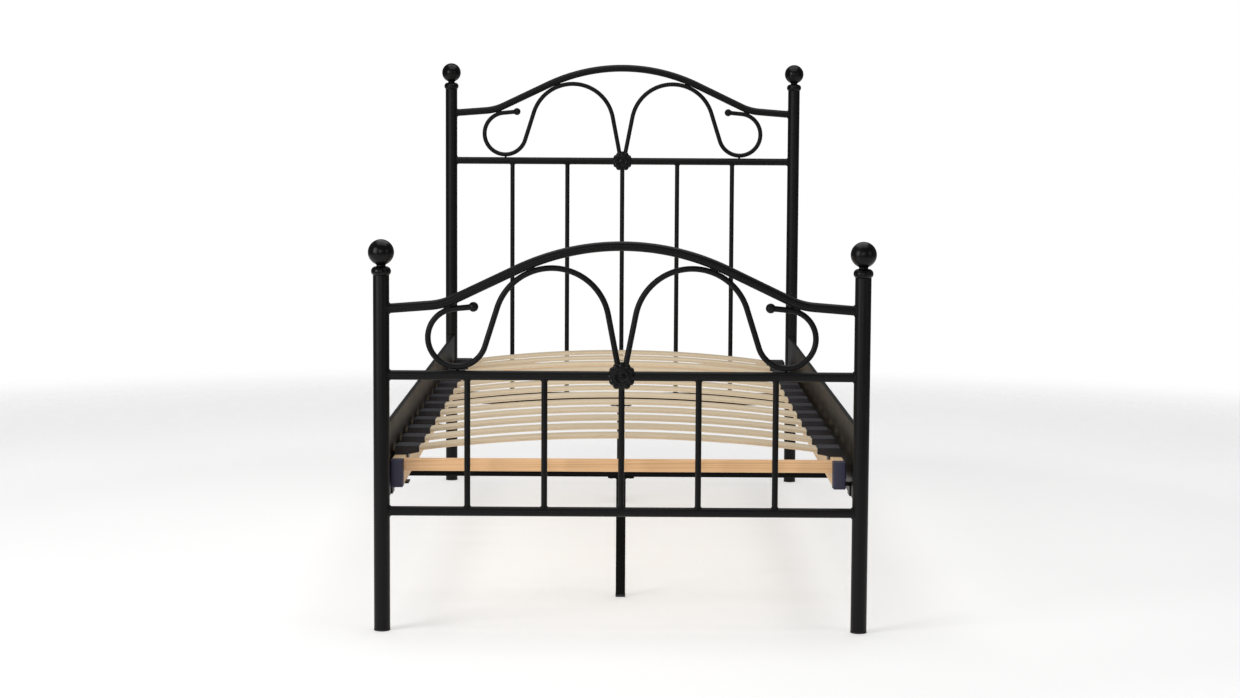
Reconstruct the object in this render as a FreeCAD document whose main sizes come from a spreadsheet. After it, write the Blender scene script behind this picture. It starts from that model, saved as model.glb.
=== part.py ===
import FreeCAD, Part
import math
import os
import re
import Sketcher
from FreeCAD import Placement, Rotation, Vector

# Single bed frame of black steel tube, with a sprung wooden slat base lying in it.
# Millimetres.  X runs across the bed, Y from the footboard to the headboard, Z up.
# The origin is on the floor, under the middle of the bed.
#
# The two boards are alike but for their height.  Each is built in its own frame: the board's plane
# is XZ, +Y is the side that faces the mattress, and the headboard is that same frame turned round.

DIMENSIONS = {
    # overall
    "post_spacing": 940,
    "board_spacing": 2050,
    "clearance": 0.02,
    # posts, their finials and foot caps
    "post_diameter": 31.8,
    "post_wall": 1.5,
    "foot_post_top": 701.5,
    "head_post_top": 1082,
    "plug_fit": 0.1,
    "plug_length": 18,
    "cap_base": 3,
    "cap_overhang": 0.5,
    "cap_chamfer": 1.2,
    "cap_wall": 2.4,
    "bead_radius": 9.7,
    "bead_centre_radius": 9.8,
    "bead_height": 8,
    "neck_radius": 9,
    "ball_radius": 25.5,
    "ball_height": 45,
    # rails, arch and spindles of a board
    "rail_diameter": 19,
    "rail_wall": 1.2,
    "upper_rail_drop": 195,
    "lower_rail_height": 238,
    "spindle_diameter": 12,
    "spindle_wall": 1,
    "spindle_count": 5,
    "spindle_pitch": 151,
    "arch_rise": 254.3,
    "arch_radius": 475,
    "arch_half_angle": 25.5,
    "arch_flank": 134.8,
    "shoulder_radius": 140,
    "shoulder_slope": 4.5,
    # scrolls: a bend schedule that starts at the middle of the upper rail
    "rod_diameter": 11.5,
    "scroll_start": 3.64,
    "scroll_lean": 11,
    "scroll_rise": 122.45,
    "crown_radius": 112,
    "crown_turn": 151.5,
    "scroll_fall": 79.3,
    "loop_radius": 57,
    "loop_turn": 247,
    "scroll_tail": 37.6,
    "tip_ball_radius": 9.75,
    "weld_radius": 2.6,
    # rosettes
    "rosette_radius": 22.5,
    "rosette_rim": 11,
    "rosette_ring": 13.4,
    "rosette_dish": 11.9,
    "rosette_button": 15.5,
    "petal_count": 12,
    "petal_radius": 5.8,
    "petal_centre": 20.7,
    # side rails, post plates and their bolts
    "side_rail_inside": 920,
    "side_rail_bottom": 256,
    "side_rail_depth": 150,
    "sheet_thickness": 2,
    "hem_width": 8,
    "hook_flange_width": 22,
    "plate_width": 24,
    "plate_back": 20,
    "plate_depth": 9.5,
    "corner_bolt_diameter": 8,
    "corner_bolt_head": 13,
    "corner_bolt_head_height": 5.3,
    "corner_bolt_length": 10,
    "corner_bolt_edge": 35,
    # cross bars, centre legs and ledge tabs
    "bar_size": 25,
    "bar_wall": 1.5,
    "bar_end_plate": 3,
    "bar_offset": 660,
    "bar_top": 281.3,
    "bar_bolt_diameter": 6,
    "bar_bolt_head": 10,
    "bar_bolt_head_height": 4,
    "bar_bolt_length": 14,
    "leg_size": 20,
    "leg_flange_width": 55,
    "leg_flange_thickness": 3,
    "leg_screw_diameter": 4.2,
    "leg_screw_head": 8,
    "leg_screw_head_height": 2.4,
    "leg_screw_length": 8,
    "leg_screw_offset": 20,
    "glide_base": 5,
    "glide_size": 21,
    "glide_plug": 14,
    "tab_reach": 35,
    "tab_length": 40,
    "tab_drop": 24,
    "tab_thickness": 3,
    "tab_offset": 910,
    # slat base
    "slat_base_shift": -6,
    "slat_base_width": 900,
    "slat_base_length": 2000,
    "slat_base_gap": 0.2,
    "slat_rail_width": 23.2,
    "slat_rail_height": 52.6,
    "slat_rail_edge": 1.5,
    "end_cap_wall": 1.2,
    "end_cap_depth": 26,
    "member_width": 20,
    "member_height": 24,
    "wood_screw_diameter": 4.2,
    "wood_screw_length": 48,
    "wood_screw_head": 8.4,
    "wood_screw_head_height": 1.3,
    "slat_count": 13,
    "slat_pitch": 147.25,
    "slat_width": 53,
    "slat_thickness": 8,
    "slat_radius": 3050,
    "slat_half_span": 446,
    "slat_seat": 1.4,
    "holder_reach": 49,
    "holder_inset": 1,
    "holder_height": 17.6,
    "holder_lift": 5,
    "holder_wall": 2,
    "holder_leg": 13,
    "holder_leg_width": 40,
    "holder_leg_thickness": 3,
    "slot_fit": 0.3,
}

doc = FreeCAD.newDocument("BedFrame")
sheet = doc.addObject("Spreadsheet::Sheet", "Dims")
for row, (alias, size) in enumerate(DIMENSIONS.items(), start=1):
    sheet.set("A%d" % row, alias.replace("_", " "))
    sheet.set("B%d" % row, "%g" % size)
    sheet.setAlias("B%d" % row, alias)
doc.recompute()

ORIGIN_AXIS = {"X": "X_Axis", "Y": "Y_Axis", "Z": "Z_Axis"}
# the turn that lays a cylinder, which starts along Z, along each axis
ALONG = {
    "X": Rotation(Vector(0, 1, 0), 90),
    "Y": Rotation(Vector(1, 0, 0), -90),
    "-Y": Rotation(Vector(1, 0, 0), 90),
}
HALF_TURN = Rotation(Vector(0, 0, 1), 180)


# ---------------------------------------------------------------- formulas, sketches and features

def sheet_formula(formula):
    """The formula with each cell's name made a reference to the sheet."""
    return re.sub(r"[a-z_]+", lambda word: "Dims." * (word[0] in DIMENSIONS) + word[0], str(formula))


def size_of(formula):
    """The formula's present value."""
    return float(sheet.evalExpression(sheet_formula(formula)))


def bind(thing, **formulas):
    """Bind each property of a feature to a formula in the sheet's cells."""
    for name, formula in formulas.items():
        thing.setExpression(name, sheet_formula(formula))
    return thing


def place(thing, x=0, y=0, z=0, turn=None):
    """Put an object at a point given as three formulas, turned by a fixed rotation."""
    thing.Placement = Placement(Vector(size_of(x), size_of(y), size_of(z)), turn or Rotation())
    for axis, formula in (("x", x), ("y", y), ("z", z)):
        if formula != 0:
            thing.setExpression("Placement.Base." + axis, sheet_formula(formula))
    return thing


def new_body(label, x=0, y=0, z=0, turn=None):
    """An empty body at its place in the bed."""
    body = doc.addObject("PartDesign::Body", label)
    body.Label = label
    body.AllowCompound = True
    return place(body, x, y, z, turn)


def origin_part(body, role):
    """One of the body's own origin planes or axes."""
    return [feature for feature in body.Origin.OriginFeatures if feature.Role == role][0]


def new_sketch(body, name, plane):
    """A sketch on one of the body's origin planes."""
    sketch = body.newObject("Sketcher::SketchObject", name)
    sketch.AttachmentSupport = [(origin_part(body, plane + "_Plane"), "")]
    sketch.MapMode = "FlatFace"
    return sketch


def constrain(sketch, kind, *reference, formula=None):
    """Add one constraint, and bind its value to a formula when it has one."""
    if formula is None:
        return sketch.addConstraint(Sketcher.Constraint(kind, *reference))
    size = size_of(formula)
    if kind == "Angle":
        size = math.radians(size)
        formula = "(%s) * 1 deg" % formula
    number = sketch.addConstraint(Sketcher.Constraint(kind, *reference, size))
    sketch.setExpression("Constraints[%d]" % number, sheet_formula(formula))
    return number


def fix_point(sketch, edge, end, x, y):
    """Hold a point of the sketch at two formulas from the origin."""
    for kind, formula, axis in (("DistanceX", x, -2), ("DistanceY", y, -1)):
        if size_of(formula) == 0:
            constrain(sketch, "PointOnObject", edge, end, axis)
        else:
            constrain(sketch, kind, -1, 1, edge, end, formula=formula)


def add_circle(sketch, radius, x=0, y=0):
    """A circle whose radius and centre are formulas."""
    circle = Part.Circle(Vector(size_of(x), size_of(y), 0), Vector(0, 0, 1), size_of(radius))
    edge = sketch.addGeometry(circle, False)
    if size_of(x) == 0 and size_of(y) == 0:
        constrain(sketch, "Coincident", edge, 3, -1, 1)
    else:
        fix_point(sketch, edge, 3, x, y)
    constrain(sketch, "Radius", edge, formula=radius)
    return edge


def add_outline(sketch, corners):
    """A closed outline of straight sides between corners given as pairs of formulas."""
    points = [Vector(size_of(x), size_of(y), 0) for x, y in corners]
    following = points[1:] + points[:1]
    edges = [sketch.addGeometry(Part.LineSegment(a, b), False) for a, b in zip(points, following)]
    for number, edge in enumerate(edges):
        constrain(sketch, "Coincident", edge, 2, edges[(number + 1) % len(edges)], 1)
        fix_point(sketch, edge, 1, *corners[number])


def add_bends(sketch, start, heading, steps, mirrored=False):
    """A bent centreline: straights and arcs, each tangent to the last.

    start is a pair of formulas, heading is in degrees from the sketch's first axis, and a step is
    ("straight", length) or ("left" or "right", radius, turn).  mirrored bends it the other way round.
    """
    side = -1 if mirrored else 1
    x = side * size_of(start[0])
    y = size_of(start[1])
    angle = math.radians(size_of(heading))
    if mirrored:
        angle = math.pi - angle
    first_angle = angle
    ends = []
    for kind, length, *turn in steps:
        if kind == "straight":
            next_x = x + size_of(length) * math.cos(angle)
            next_y = y + size_of(length) * math.sin(angle)
            line = Part.LineSegment(Vector(x, y, 0), Vector(next_x, next_y, 0))
            ends.append((sketch.addGeometry(line, False), 1, 2))
        else:
            radius = size_of(length)
            bend = math.radians(size_of(turn[0])) * side * (1 if kind == "left" else -1)
            way = math.copysign(1, bend)
            centre = Vector(x - way * radius * math.sin(angle), y + way * radius * math.cos(angle), 0)
            begin = math.atan2(y - centre.y, x - centre.x)
            circle = Part.Circle(centre, Vector(0, 0, 1), radius)
            low, high = sorted((begin, begin + bend))
            edge = sketch.addGeometry(Part.ArcOfCircle(circle, low, high), False)
            ends.append((edge, 1, 2) if bend > 0 else (edge, 2, 1))
            next_x = centre.x + radius * math.cos(begin + bend)
            next_y = centre.y + radius * math.sin(begin + bend)
            angle += bend
        x = next_x
        y = next_y
    for (edge, _, leaving), (following, entering, _) in zip(ends, ends[1:]):
        constrain(sketch, "Tangent", edge, leaving, following, entering)
    first = ends[0][0]
    fix_point(sketch, first, 1, "%d * (%s)" % (side, start[0]), start[1])
    first_formula = "%.0f * 90 + %d * (%s)" % (1 - side, side, heading) if mirrored else heading
    if abs(math.sin(first_angle)) > 1e-9:
        constrain(sketch, "Angle", -1, 1, first, 1, formula=first_formula)
    else:
        constrain(sketch, "Horizontal", first)
    for (edge, _, _), (kind, length, *turn) in zip(ends, steps):
        if kind == "straight":
            constrain(sketch, "Distance", edge, formula=length)
        else:
            constrain(sketch, "Radius", edge, formula=length)
            constrain(sketch, "Angle", edge, formula=turn[0])


def pad(body, sketch, length, midplane=False):
    """Pad a sketch by a formula."""
    feature = body.newObject("PartDesign::Pad", sketch.Name + "_pad")
    feature.Profile = sketch
    feature.Midplane = midplane
    return bind(feature, Length=length)


def revolve(body, sketch, axis):
    """Turn a sketch a whole turn about one of the body's axes."""
    feature = body.newObject("PartDesign::Revolution", sketch.Name + "_turned")
    feature.Profile = sketch
    feature.ReferenceAxis = (origin_part(body, ORIGIN_AXIS[axis]), [""])
    feature.Angle = 360
    return feature


def bent_bar(body, path, radius, bore=None):
    """A round bar, or a tube when it has a bore, along a bent centreline."""
    profile = body.newObject("Sketcher::SketchObject", body.Label + "_section")
    profile.AttachmentSupport = [(path, "Edge1")]
    profile.MapMode = "NormalToEdge"
    profile.MapPathParameter = 0
    add_circle(profile, radius)
    if bore is not None:
        add_circle(profile, bore)
    feature = body.newObject("PartDesign::AdditivePipe", body.Label + "_bar")
    feature.Profile = (profile, [""])
    feature.Spine = (path, ["Edge%d" % (number + 1) for number in range(path.GeometryCount)])
    return feature


def cylinder(body, name, radius, height, x=0, y=0, z=0, turn=None, cut=True):
    """A cylinder cut from the body, or added to it, with its base at a point."""
    kind = "PartDesign::SubtractiveCylinder" if cut else "PartDesign::AdditiveCylinder"
    feature = body.newObject(kind, body.Label + "_" + name)
    bind(feature, Radius=radius, Height=height)
    return place(feature, x, y, z, turn)


def block(body, name, length, width, height, x=0, y=0, z=0, cut=False):
    """A block added to the body, or cut from it, with its lowest corner at a point."""
    kind = "PartDesign::SubtractiveBox" if cut else "PartDesign::AdditiveBox"
    feature = body.newObject(kind, body.Label + "_" + name)
    bind(feature, Length=length, Width=width, Height=height)
    return place(feature, x, y, z)


def tip(body, feature):
    """Make a feature the body's last, and compute it."""
    body.Tip = feature
    doc.recompute()
    return feature


def mirror_step(body, name, plane):
    """One mirroring in an origin plane."""
    feature = body.newObject("PartDesign::Mirrored", body.Label + "_" + name)
    feature.MirrorPlane = (origin_part(body, plane + "_Plane"), [""])
    return feature


def row_step(body, name, axis, length, count):
    """One row of copies along an origin axis."""
    feature = body.newObject("PartDesign::LinearPattern", body.Label + "_" + name)
    feature.Direction = (origin_part(body, ORIGIN_AXIS[axis]), [""])
    feature.Mode = "Extent"
    return bind(feature, Length=length, Occurrences=count)


def multiply(body, name, originals, steps):
    """Repeat features by several steps at once."""
    feature = body.newObject("PartDesign::MultiTransform", body.Label + "_" + name)
    feature.Originals = originals
    feature.Transformations = steps
    return tip(body, feature)


def group(label, members):
    """Identical separate pieces that share one sub-part."""
    compound = doc.addObject("Part::Compound", label)
    compound.Label = label
    compound.Links = members
    return compound


def hex_bolt(name, head, head_height, diameter, length):
    """A bolt with its head on top of the origin and its shank below."""
    crown = bind(doc.addObject("Part::Prism", name + "_head"), Height=head_height)
    crown.Polygon = 6
    bind(crown, Circumradius="%s / (2 * cos(30))" % head)
    shank = doc.addObject("Part::Cylinder", name + "_shank")
    bind(shank, Radius="%s / 2 - clearance" % diameter, Height="%s + %s / 2" % (length, head_height))
    place(shank, z="0 - " + length)
    bolt = doc.addObject("Part::Fuse", name)
    bolt.Base = crown
    bolt.Tool = shank
    return bolt


def round_screw(name, head, head_height, diameter, length):
    """A screw with a tapered round head on top of the origin and its shank below."""
    crown = doc.addObject("Part::Cone", name + "_head")
    bind(crown, Radius1="%s / 2" % head, Radius2="%s / 3" % head, Height=head_height)
    shank = doc.addObject("Part::Cylinder", name + "_shank")
    bind(shank, Radius="%s / 2 - clearance" % diameter, Height="%s + %s / 2" % (length, head_height))
    place(shank, z="0 - " + length)
    screw = doc.addObject("Part::Fuse", name)
    screw.Base = crown
    screw.Tool = shank
    return screw


# ---------------------------------------------------------------- the two boards

class Board:
    """Where one board stands, and how its own left and right read in the bed."""

    def __init__(self, name):
        self.name = name
        self.turned = name == "head"
        self.turn = HALF_TURN if self.turned else Rotation()
        self.plane = "board_spacing / 2" if self.turned else "0 - board_spacing / 2"
        self.post_top = name + "_post_top"
        self.rail = self.post_top + " - upper_rail_drop"

    def side(self, way):
        """left or right in the bed, for a piece on the board's own +X (1) or -X (-1) side."""
        return "right" if (way > 0) != self.turned else "left"

    def body(self, label, x=0, z=0, way=1):
        """A body in the board's own frame, x to its +X or -X side."""
        across = "%d * (%s)" % (-way if self.turned else way, x) if x != 0 else 0
        return new_body(label, across, self.plane, z, self.turn)


def post(board, way):
    """A round tube with two bolt holes in the wall that faces the bed."""
    label = "%s_post_%s" % (board.name, board.side(way))
    body = board.body(label, "post_spacing / 2", "cap_base", way)
    sketch = new_sketch(body, label + "_ring", "XY")
    add_circle(sketch, "post_diameter / 2")
    add_circle(sketch, "post_diameter / 2 - post_wall")
    pad(body, sketch, board.post_top + " - cap_base")
    for number, height in enumerate(BOLT_HEIGHTS):
        cylinder(body, "bolt_hole_%d" % number, "corner_bolt_diameter / 2", "post_diameter / 2",
                 y="post_diameter / 4", z=height + " - cap_base", turn=ALONG["Y"])
    return body


def finial(board, way):
    """A cast ball on a neck and a bead, with a plug that fills the top of the post."""
    label = "%s_finial_%s" % (board.name, board.side(way))
    body = board.body(label, "post_spacing / 2", board.post_top, way)
    stem = new_sketch(body, label + "_stem", "XZ")
    seat = "bead_centre_radius + sqrt(bead_radius ^ 2 - bead_height ^ 2) - clearance"
    add_outline(stem, [
        (0, 0),
        (seat, 0),
        (seat, "bead_height"),
        ("neck_radius", "bead_height"),
        ("neck_radius", "ball_height - ball_radius / 2"),
        (0, "ball_height - ball_radius / 2"),
    ])
    revolve(body, stem, "Z")
    bead = body.newObject("PartDesign::AdditiveTorus", label + "_bead")
    bind(bead, Radius1="bead_centre_radius", Radius2="bead_radius - clearance")
    place(bead, z="bead_height")
    block(body, "seat_flat", "post_diameter * 2", "post_diameter * 2", "bead_radius",
          "0 - post_diameter", "0 - post_diameter", "0 - bead_radius", cut=True)
    ball = body.newObject("PartDesign::AdditiveSphere", label + "_ball")
    bind(ball, Radius="ball_radius")
    place(ball, z="ball_height")
    plug = new_sketch(body, label + "_plug", "XY")
    add_circle(plug, "post_diameter / 2 - post_wall - plug_fit")
    shank = pad(body, plug, "plug_length")
    shank.Reversed = True
    return body


def foot_cap(board, way):
    """A plastic cap under the post, with a hollow plug inside the tube."""
    label = "%s_foot_cap_%s" % (board.name, board.side(way))
    body = board.body(label, "post_spacing / 2", 0, way)
    plug = "post_diameter / 2 - post_wall - plug_fit"
    rim = "post_diameter / 2 + cap_overhang"
    sketch = new_sketch(body, label + "_outline", "XZ")
    add_outline(sketch, [
        (0, 0),
        (rim + " - cap_chamfer", 0),
        (rim, "cap_chamfer"),
        (rim, "cap_base"),
        (plug, "cap_base"),
        (plug, "cap_base + plug_length"),
        (plug + " - cap_wall", "cap_base + plug_length"),
        (plug + " - cap_wall", "cap_base"),
        (0, "cap_base"),
    ])
    revolve(body, sketch, "Z")
    return body


def cope_ends(body, z=0):
    """Cut both ends of a rail or arch to the round of the posts."""
    for way, name in ((-1, "cope_a"), (1, "cope_b")):
        cylinder(body, name, "post_diameter / 2 + clearance", "post_spacing",
                 "%d * post_spacing / 2" % way, 0, "%s - post_spacing / 2" % z)


def straight_rail(board, name, height):
    """A horizontal tube between the posts."""
    body = board.body("%s_%s" % (board.name, name), 0, height)
    sketch = new_sketch(body, body.Label + "_ring", "YZ")
    add_circle(sketch, "rail_diameter / 2")
    add_circle(sketch, "rail_diameter / 2 - rail_wall")
    pad(body, sketch, "post_spacing", midplane=True)
    cope_ends(body)
    return body


def arch_rail(board):
    """The arched top tube: a round crown, straight flanks and an easing bend at each shoulder."""
    body = board.body(board.name + "_arch_rail", 0, board.rail)
    ease = "(arch_half_angle - shoulder_slope)"
    outer = ("(post_spacing / 2 - arch_radius * sin(arch_half_angle) - arch_flank * cos(arch_half_angle)"
             " - shoulder_radius * (sin(arch_half_angle) - sin(shoulder_slope))) / cos(shoulder_slope)")
    start = ("arch_rise - arch_radius * (1 - cos(arch_half_angle)) - arch_flank * sin(arch_half_angle)"
             " - shoulder_radius * (cos(shoulder_slope) - cos(arch_half_angle))"
             " - %s * sin(shoulder_slope)" % outer)
    path = new_sketch(body, body.Label + "_centreline", "XZ")
    add_bends(path, ("0 - post_spacing / 2", start), "shoulder_slope", [
        ("straight", outer),
        ("left", "shoulder_radius", ease),
        ("straight", "arch_flank"),
        ("right", "arch_radius", "2 * arch_half_angle"),
        ("straight", "arch_flank"),
        ("left", "shoulder_radius", ease),
        ("straight", outer),
    ])
    bent_bar(body, path, "rail_diameter / 2", "rail_diameter / 2 - rail_wall")
    cope_ends(body)
    return body


def spindles(board):
    """A row of thin upright tubes, their ends cut to the round of the two rails."""
    body = board.body(board.name + "_spindles", 0, "lower_rail_height")
    rise = "(%s - lower_rail_height)" % board.rail
    first = "0 - spindle_pitch * (spindle_count - 1) / 2"
    sketch = new_sketch(body, body.Label + "_ring", "XY")
    add_circle(sketch, "spindle_diameter / 2", first)
    add_circle(sketch, "spindle_diameter / 2 - spindle_wall", first)
    upright = pad(body, sketch, rise)
    row = row_step(body, "row", "X", "spindle_pitch * (spindle_count - 1)", "spindle_count")
    row.Originals = [upright]
    tip(body, row)
    for name, height in (("lower_cope", 0), ("upper_cope", rise)):
        cylinder(body, name, "rail_diameter / 2 + clearance", "post_spacing",
                 "0 - post_spacing / 2", 0, height, ALONG["X"])
    return body


def scroll(board, way):
    """A bent rod: up from the rosette, over the crown, down and round a loop to a ball tip."""
    label = "%s_scroll_%s" % (board.name, board.side(way))
    body = board.body(label, 0, board.rail)
    path = new_sketch(body, label + "_centreline", "XZ")
    add_bends(path, ("scroll_start", 0), "90 - scroll_lean", [
        ("straight", "scroll_rise"),
        ("right", "crown_radius", "crown_turn"),
        ("straight", "scroll_fall"),
        ("left", "loop_radius", "loop_turn"),
        ("straight", "scroll_tail"),
    ], mirrored=way < 0)
    bent_bar(body, path, "rod_diameter / 2")
    doc.recompute()
    loop = path.Shape.Edges[3].Curve.Center
    end = path.Shape.Edges[-1].lastVertex().Point
    far = max((vertex.Point for vertex in path.Shape.Vertexes), key=lambda p: -(p - end).Length)
    tail = body.newObject("PartDesign::AdditiveSphere", label + "_tip")
    bind(tail, Radius="tip_ball_radius")
    tail.Placement.Base = far
    weld = cylinder(body, "weld", "weld_radius", "loop_radius / 3", cut=False)
    weld.Placement.Base = Vector(loop.x, 0, loop.z - size_of("loop_radius + loop_radius / 3"))
    cylinder(body, "rail_cope", "rail_diameter / 2 + clearance", "post_spacing",
             "0 - post_spacing / 2", 0, 0, ALONG["X"])
    block(body, "mitre", "rail_diameter", "rod_diameter * 2", "rail_diameter * 3",
          "clearance - rail_diameter" if way > 0 else "0 - clearance", "0 - rod_diameter",
          "0 - rail_diameter", cut=True)
    return body


# the face of a rosette, from its rim inwards: parts of its radius, and the depth at each
ROSETTE_FACE = (
    (1, "rosette_rim"),
    (0.86, "rosette_ring"),
    (0.7, "rosette_ring"),
    (0.54, "rosette_dish"),
    (0.38, "rosette_dish"),
    (0.34, "rosette_ring"),
    (0.18, "rosette_button"),
    (0, "rosette_button"),
)


def rosette(board, face):
    """Half of a cast flower clamped round the middle of the upper rail."""
    turn = HALF_TURN if (face == "back") != board.turned else Rotation()
    body = new_body("%s_rosette_%s" % (board.name, face), 0, board.plane, board.rail, turn)
    sketch = new_sketch(body, body.Label + "_outline", "XY")
    outline = [(0, 0), ("rosette_radius", 0)]
    outline += [("rosette_radius * %g" % part, "0 - " + depth) for part, depth in ROSETTE_FACE]
    add_outline(sketch, outline)
    revolve(body, sketch, "Y")
    petal = cylinder(body, "petal", "petal_radius", "rosette_rim", "petal_centre",
                     turn=ALONG["-Y"], cut=False)
    ring = body.newObject("PartDesign::PolarPattern", body.Label + "_petals")
    ring.Originals = [petal]
    ring.Axis = (origin_part(body, "Y_Axis"), [""])
    ring.Angle = 360
    bind(ring, Occurrences="petal_count")
    tip(body, ring)
    cylinder(body, "rail_groove", "rail_diameter / 2 + clearance", "rosette_radius * 4",
             "0 - rosette_radius * 2", 0, 0, ALONG["X"])
    cylinder(body, "spindle_groove", "spindle_diameter / 2 + clearance", "rosette_radius * 2",
             0, 0, "0 - rosette_radius * 2")
    for way, name in ((-1, "rod_groove_a"), (1, "rod_groove_b")):
        cylinder(body, name, "rod_diameter / 2 + clearance", "rosette_radius * 2",
                 "%d * scroll_start" % way, turn=Rotation(Vector(0, 1, 0), way * size_of("scroll_lean")))
    return body


# ---------------------------------------------------------------- what joins the boards

BOLT_HEIGHTS = (
    "side_rail_bottom + corner_bolt_edge",
    "side_rail_bottom + side_rail_depth - corner_bolt_edge",
)
FLANGE_FACE = "(board_spacing / 2 - plate_back)"
BAR_MIDDLE = "bar_top - bar_size / 2"


def side_rail(side):
    """A pressed sheet rail with hemmed edges, and a flange folded out at each end."""
    x = "side_rail_inside / 2" if side == "right" else "0 - side_rail_inside / 2"
    turn = HALF_TURN if side == "left" else None
    body = new_body("side_rail_" + side, x, 0, "side_rail_bottom", turn)
    sketch = new_sketch(body, body.Label + "_section", "XZ")
    add_outline(sketch, [
        (0, 0),
        ("hem_width", 0),
        ("hem_width", "sheet_thickness"),
        ("sheet_thickness", "sheet_thickness"),
        ("sheet_thickness", "side_rail_depth - sheet_thickness"),
        ("hem_width", "side_rail_depth - sheet_thickness"),
        ("hem_width", "side_rail_depth"),
        (0, "side_rail_depth"),
    ])
    pad(body, sketch, "2 * (%s - sheet_thickness)" % FLANGE_FACE, midplane=True)
    for end, flange_side in (("foot", "0 - " + FLANGE_FACE), ("head", FLANGE_FACE + " - sheet_thickness")):
        block(body, end + "_flange", "hook_flange_width", "sheet_thickness", "side_rail_depth",
              0, flange_side, 0)
        cylinder(body, end + "_bar_hole", "bar_bolt_diameter / 2", "sheet_thickness * 3",
                 "0 - sheet_thickness", "bar_offset" if end == "head" else "0 - bar_offset",
                 BAR_MIDDLE + " - side_rail_bottom", ALONG["X"])
    drill_corners(body, side, "(post_spacing - side_rail_inside) / 2")
    return body


def drill_corners(body, side, x):
    """Bolt holes along Y, right through both ends of a piece."""
    for number, height in enumerate(BOLT_HEIGHTS):
        cylinder(body, "bolt_hole_%s_%d" % (side, number), "corner_bolt_diameter / 2", "board_spacing",
                 x, "0 - board_spacing / 2", height + " - side_rail_bottom", ALONG["Y"])


def post_plates():
    """Four saddle plates, one behind each post, cut to the round of the tube."""
    body = new_body("post_plates", z="side_rail_bottom")
    for across, side in (("0 - post_spacing / 2", "left"), ("post_spacing / 2", "right")):
        for along, end in ((-1, "foot"), (1, "head")):
            face = FLANGE_FACE if along > 0 else "0 - %s - plate_depth" % FLANGE_FACE
            block(body, "%s_%s" % (end, side), "plate_width", "plate_depth", "side_rail_depth",
                  across + " - plate_width / 2", face, 0)
            cylinder(body, "%s_%s_saddle" % (end, side), "post_diameter / 2 + clearance",
                     "side_rail_depth", across, "%d * board_spacing / 2" % along, 0)
        drill_corners(body, side, across)
    return body


def corner_bolts():
    """Two bolts at each corner, through the rail's flange and the plate into the post."""
    bolts = []
    for across in (-1, 1):
        for along in (-1, 1):
            for height in BOLT_HEIGHTS:
                bolt = hex_bolt("corner_bolt_%d" % len(bolts), "corner_bolt_head",
                                "corner_bolt_head_height", "corner_bolt_diameter", "corner_bolt_length")
                bolts.append(place(bolt, "%d * post_spacing / 2" % across,
                                   "%d * (%s - sheet_thickness)" % (along, FLANGE_FACE), height,
                                   ALONG["-Y"] if along > 0 else ALONG["Y"]))
    return group("corner_bolts", bolts)


def ledge_tabs():
    """Six small angle tabs inside the side rails, which carry the slat base's long rails."""
    body = new_body("ledge_tabs", z="bar_top")
    face = "side_rail_inside / 2"
    first = "0 - tab_offset - tab_length / 2"
    features = [
        block(body, "leaf", "tab_reach", "tab_length", "tab_thickness",
              face + " - tab_reach", first, "0 - tab_thickness"),
        block(body, "back", "tab_thickness", "tab_length", "tab_drop",
              face + " - tab_thickness", first, "0 - tab_drop"),
    ]
    multiply(body, "all", features, [
        mirror_step(body, "across", "YZ"),
        row_step(body, "row", "Y", "2 * tab_offset", 3),
    ])
    return body


def cross_bar(name, along):
    """A square tube between the side rails, closed at each end by a drilled plate."""
    body = new_body("cross_bar_" + name, 0, "%d * bar_offset" % along, "bar_top - bar_size")
    block(body, "outside", "side_rail_inside", "bar_size", "bar_size",
          "0 - side_rail_inside / 2", "0 - bar_size / 2", 0)
    block(body, "inside", "side_rail_inside - 2 * bar_end_plate", "bar_size - 2 * bar_wall",
          "bar_size - 2 * bar_wall", "bar_end_plate - side_rail_inside / 2",
          "bar_wall - bar_size / 2", "bar_wall", cut=True)
    cylinder(body, "bolt_holes", "bar_bolt_diameter / 2", "side_rail_inside + bar_size",
             "0 - (side_rail_inside + bar_size) / 2", 0, "bar_size / 2", ALONG["X"])
    for way in (-1, 1):
        cylinder(body, "screw_hole_" + ("a" if way < 0 else "b"), "leg_screw_diameter / 2", "bar_size / 2",
                 "%d * leg_screw_offset" % way, 0, "0 - bar_size / 4")
    return body


def centre_leg(name, along):
    """A square tube leg with a drilled plate welded on top, under the middle of a cross bar."""
    top = "(bar_top - bar_size)"
    tube = "(%s - leg_flange_thickness - glide_base)" % top
    body = new_body("centre_leg_" + name, 0, "%d * bar_offset" % along, "glide_base")
    block(body, "tube", "leg_size", "leg_size", tube, "0 - leg_size / 2", "0 - leg_size / 2", 0)
    block(body, "bore", "leg_size - 2 * bar_wall", "leg_size - 2 * bar_wall", tube,
          "bar_wall - leg_size / 2", "bar_wall - leg_size / 2", 0, cut=True)
    block(body, "plate", "leg_flange_width", "bar_size", "leg_flange_thickness",
          "0 - leg_flange_width / 2", "0 - bar_size / 2", tube)
    for way in (-1, 1):
        cylinder(body, "screw_hole_" + ("a" if way < 0 else "b"), "leg_screw_diameter / 2", "bar_size / 2",
                 "%d * leg_screw_offset" % way, 0, tube + " - bar_size / 4")
    return body


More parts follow.
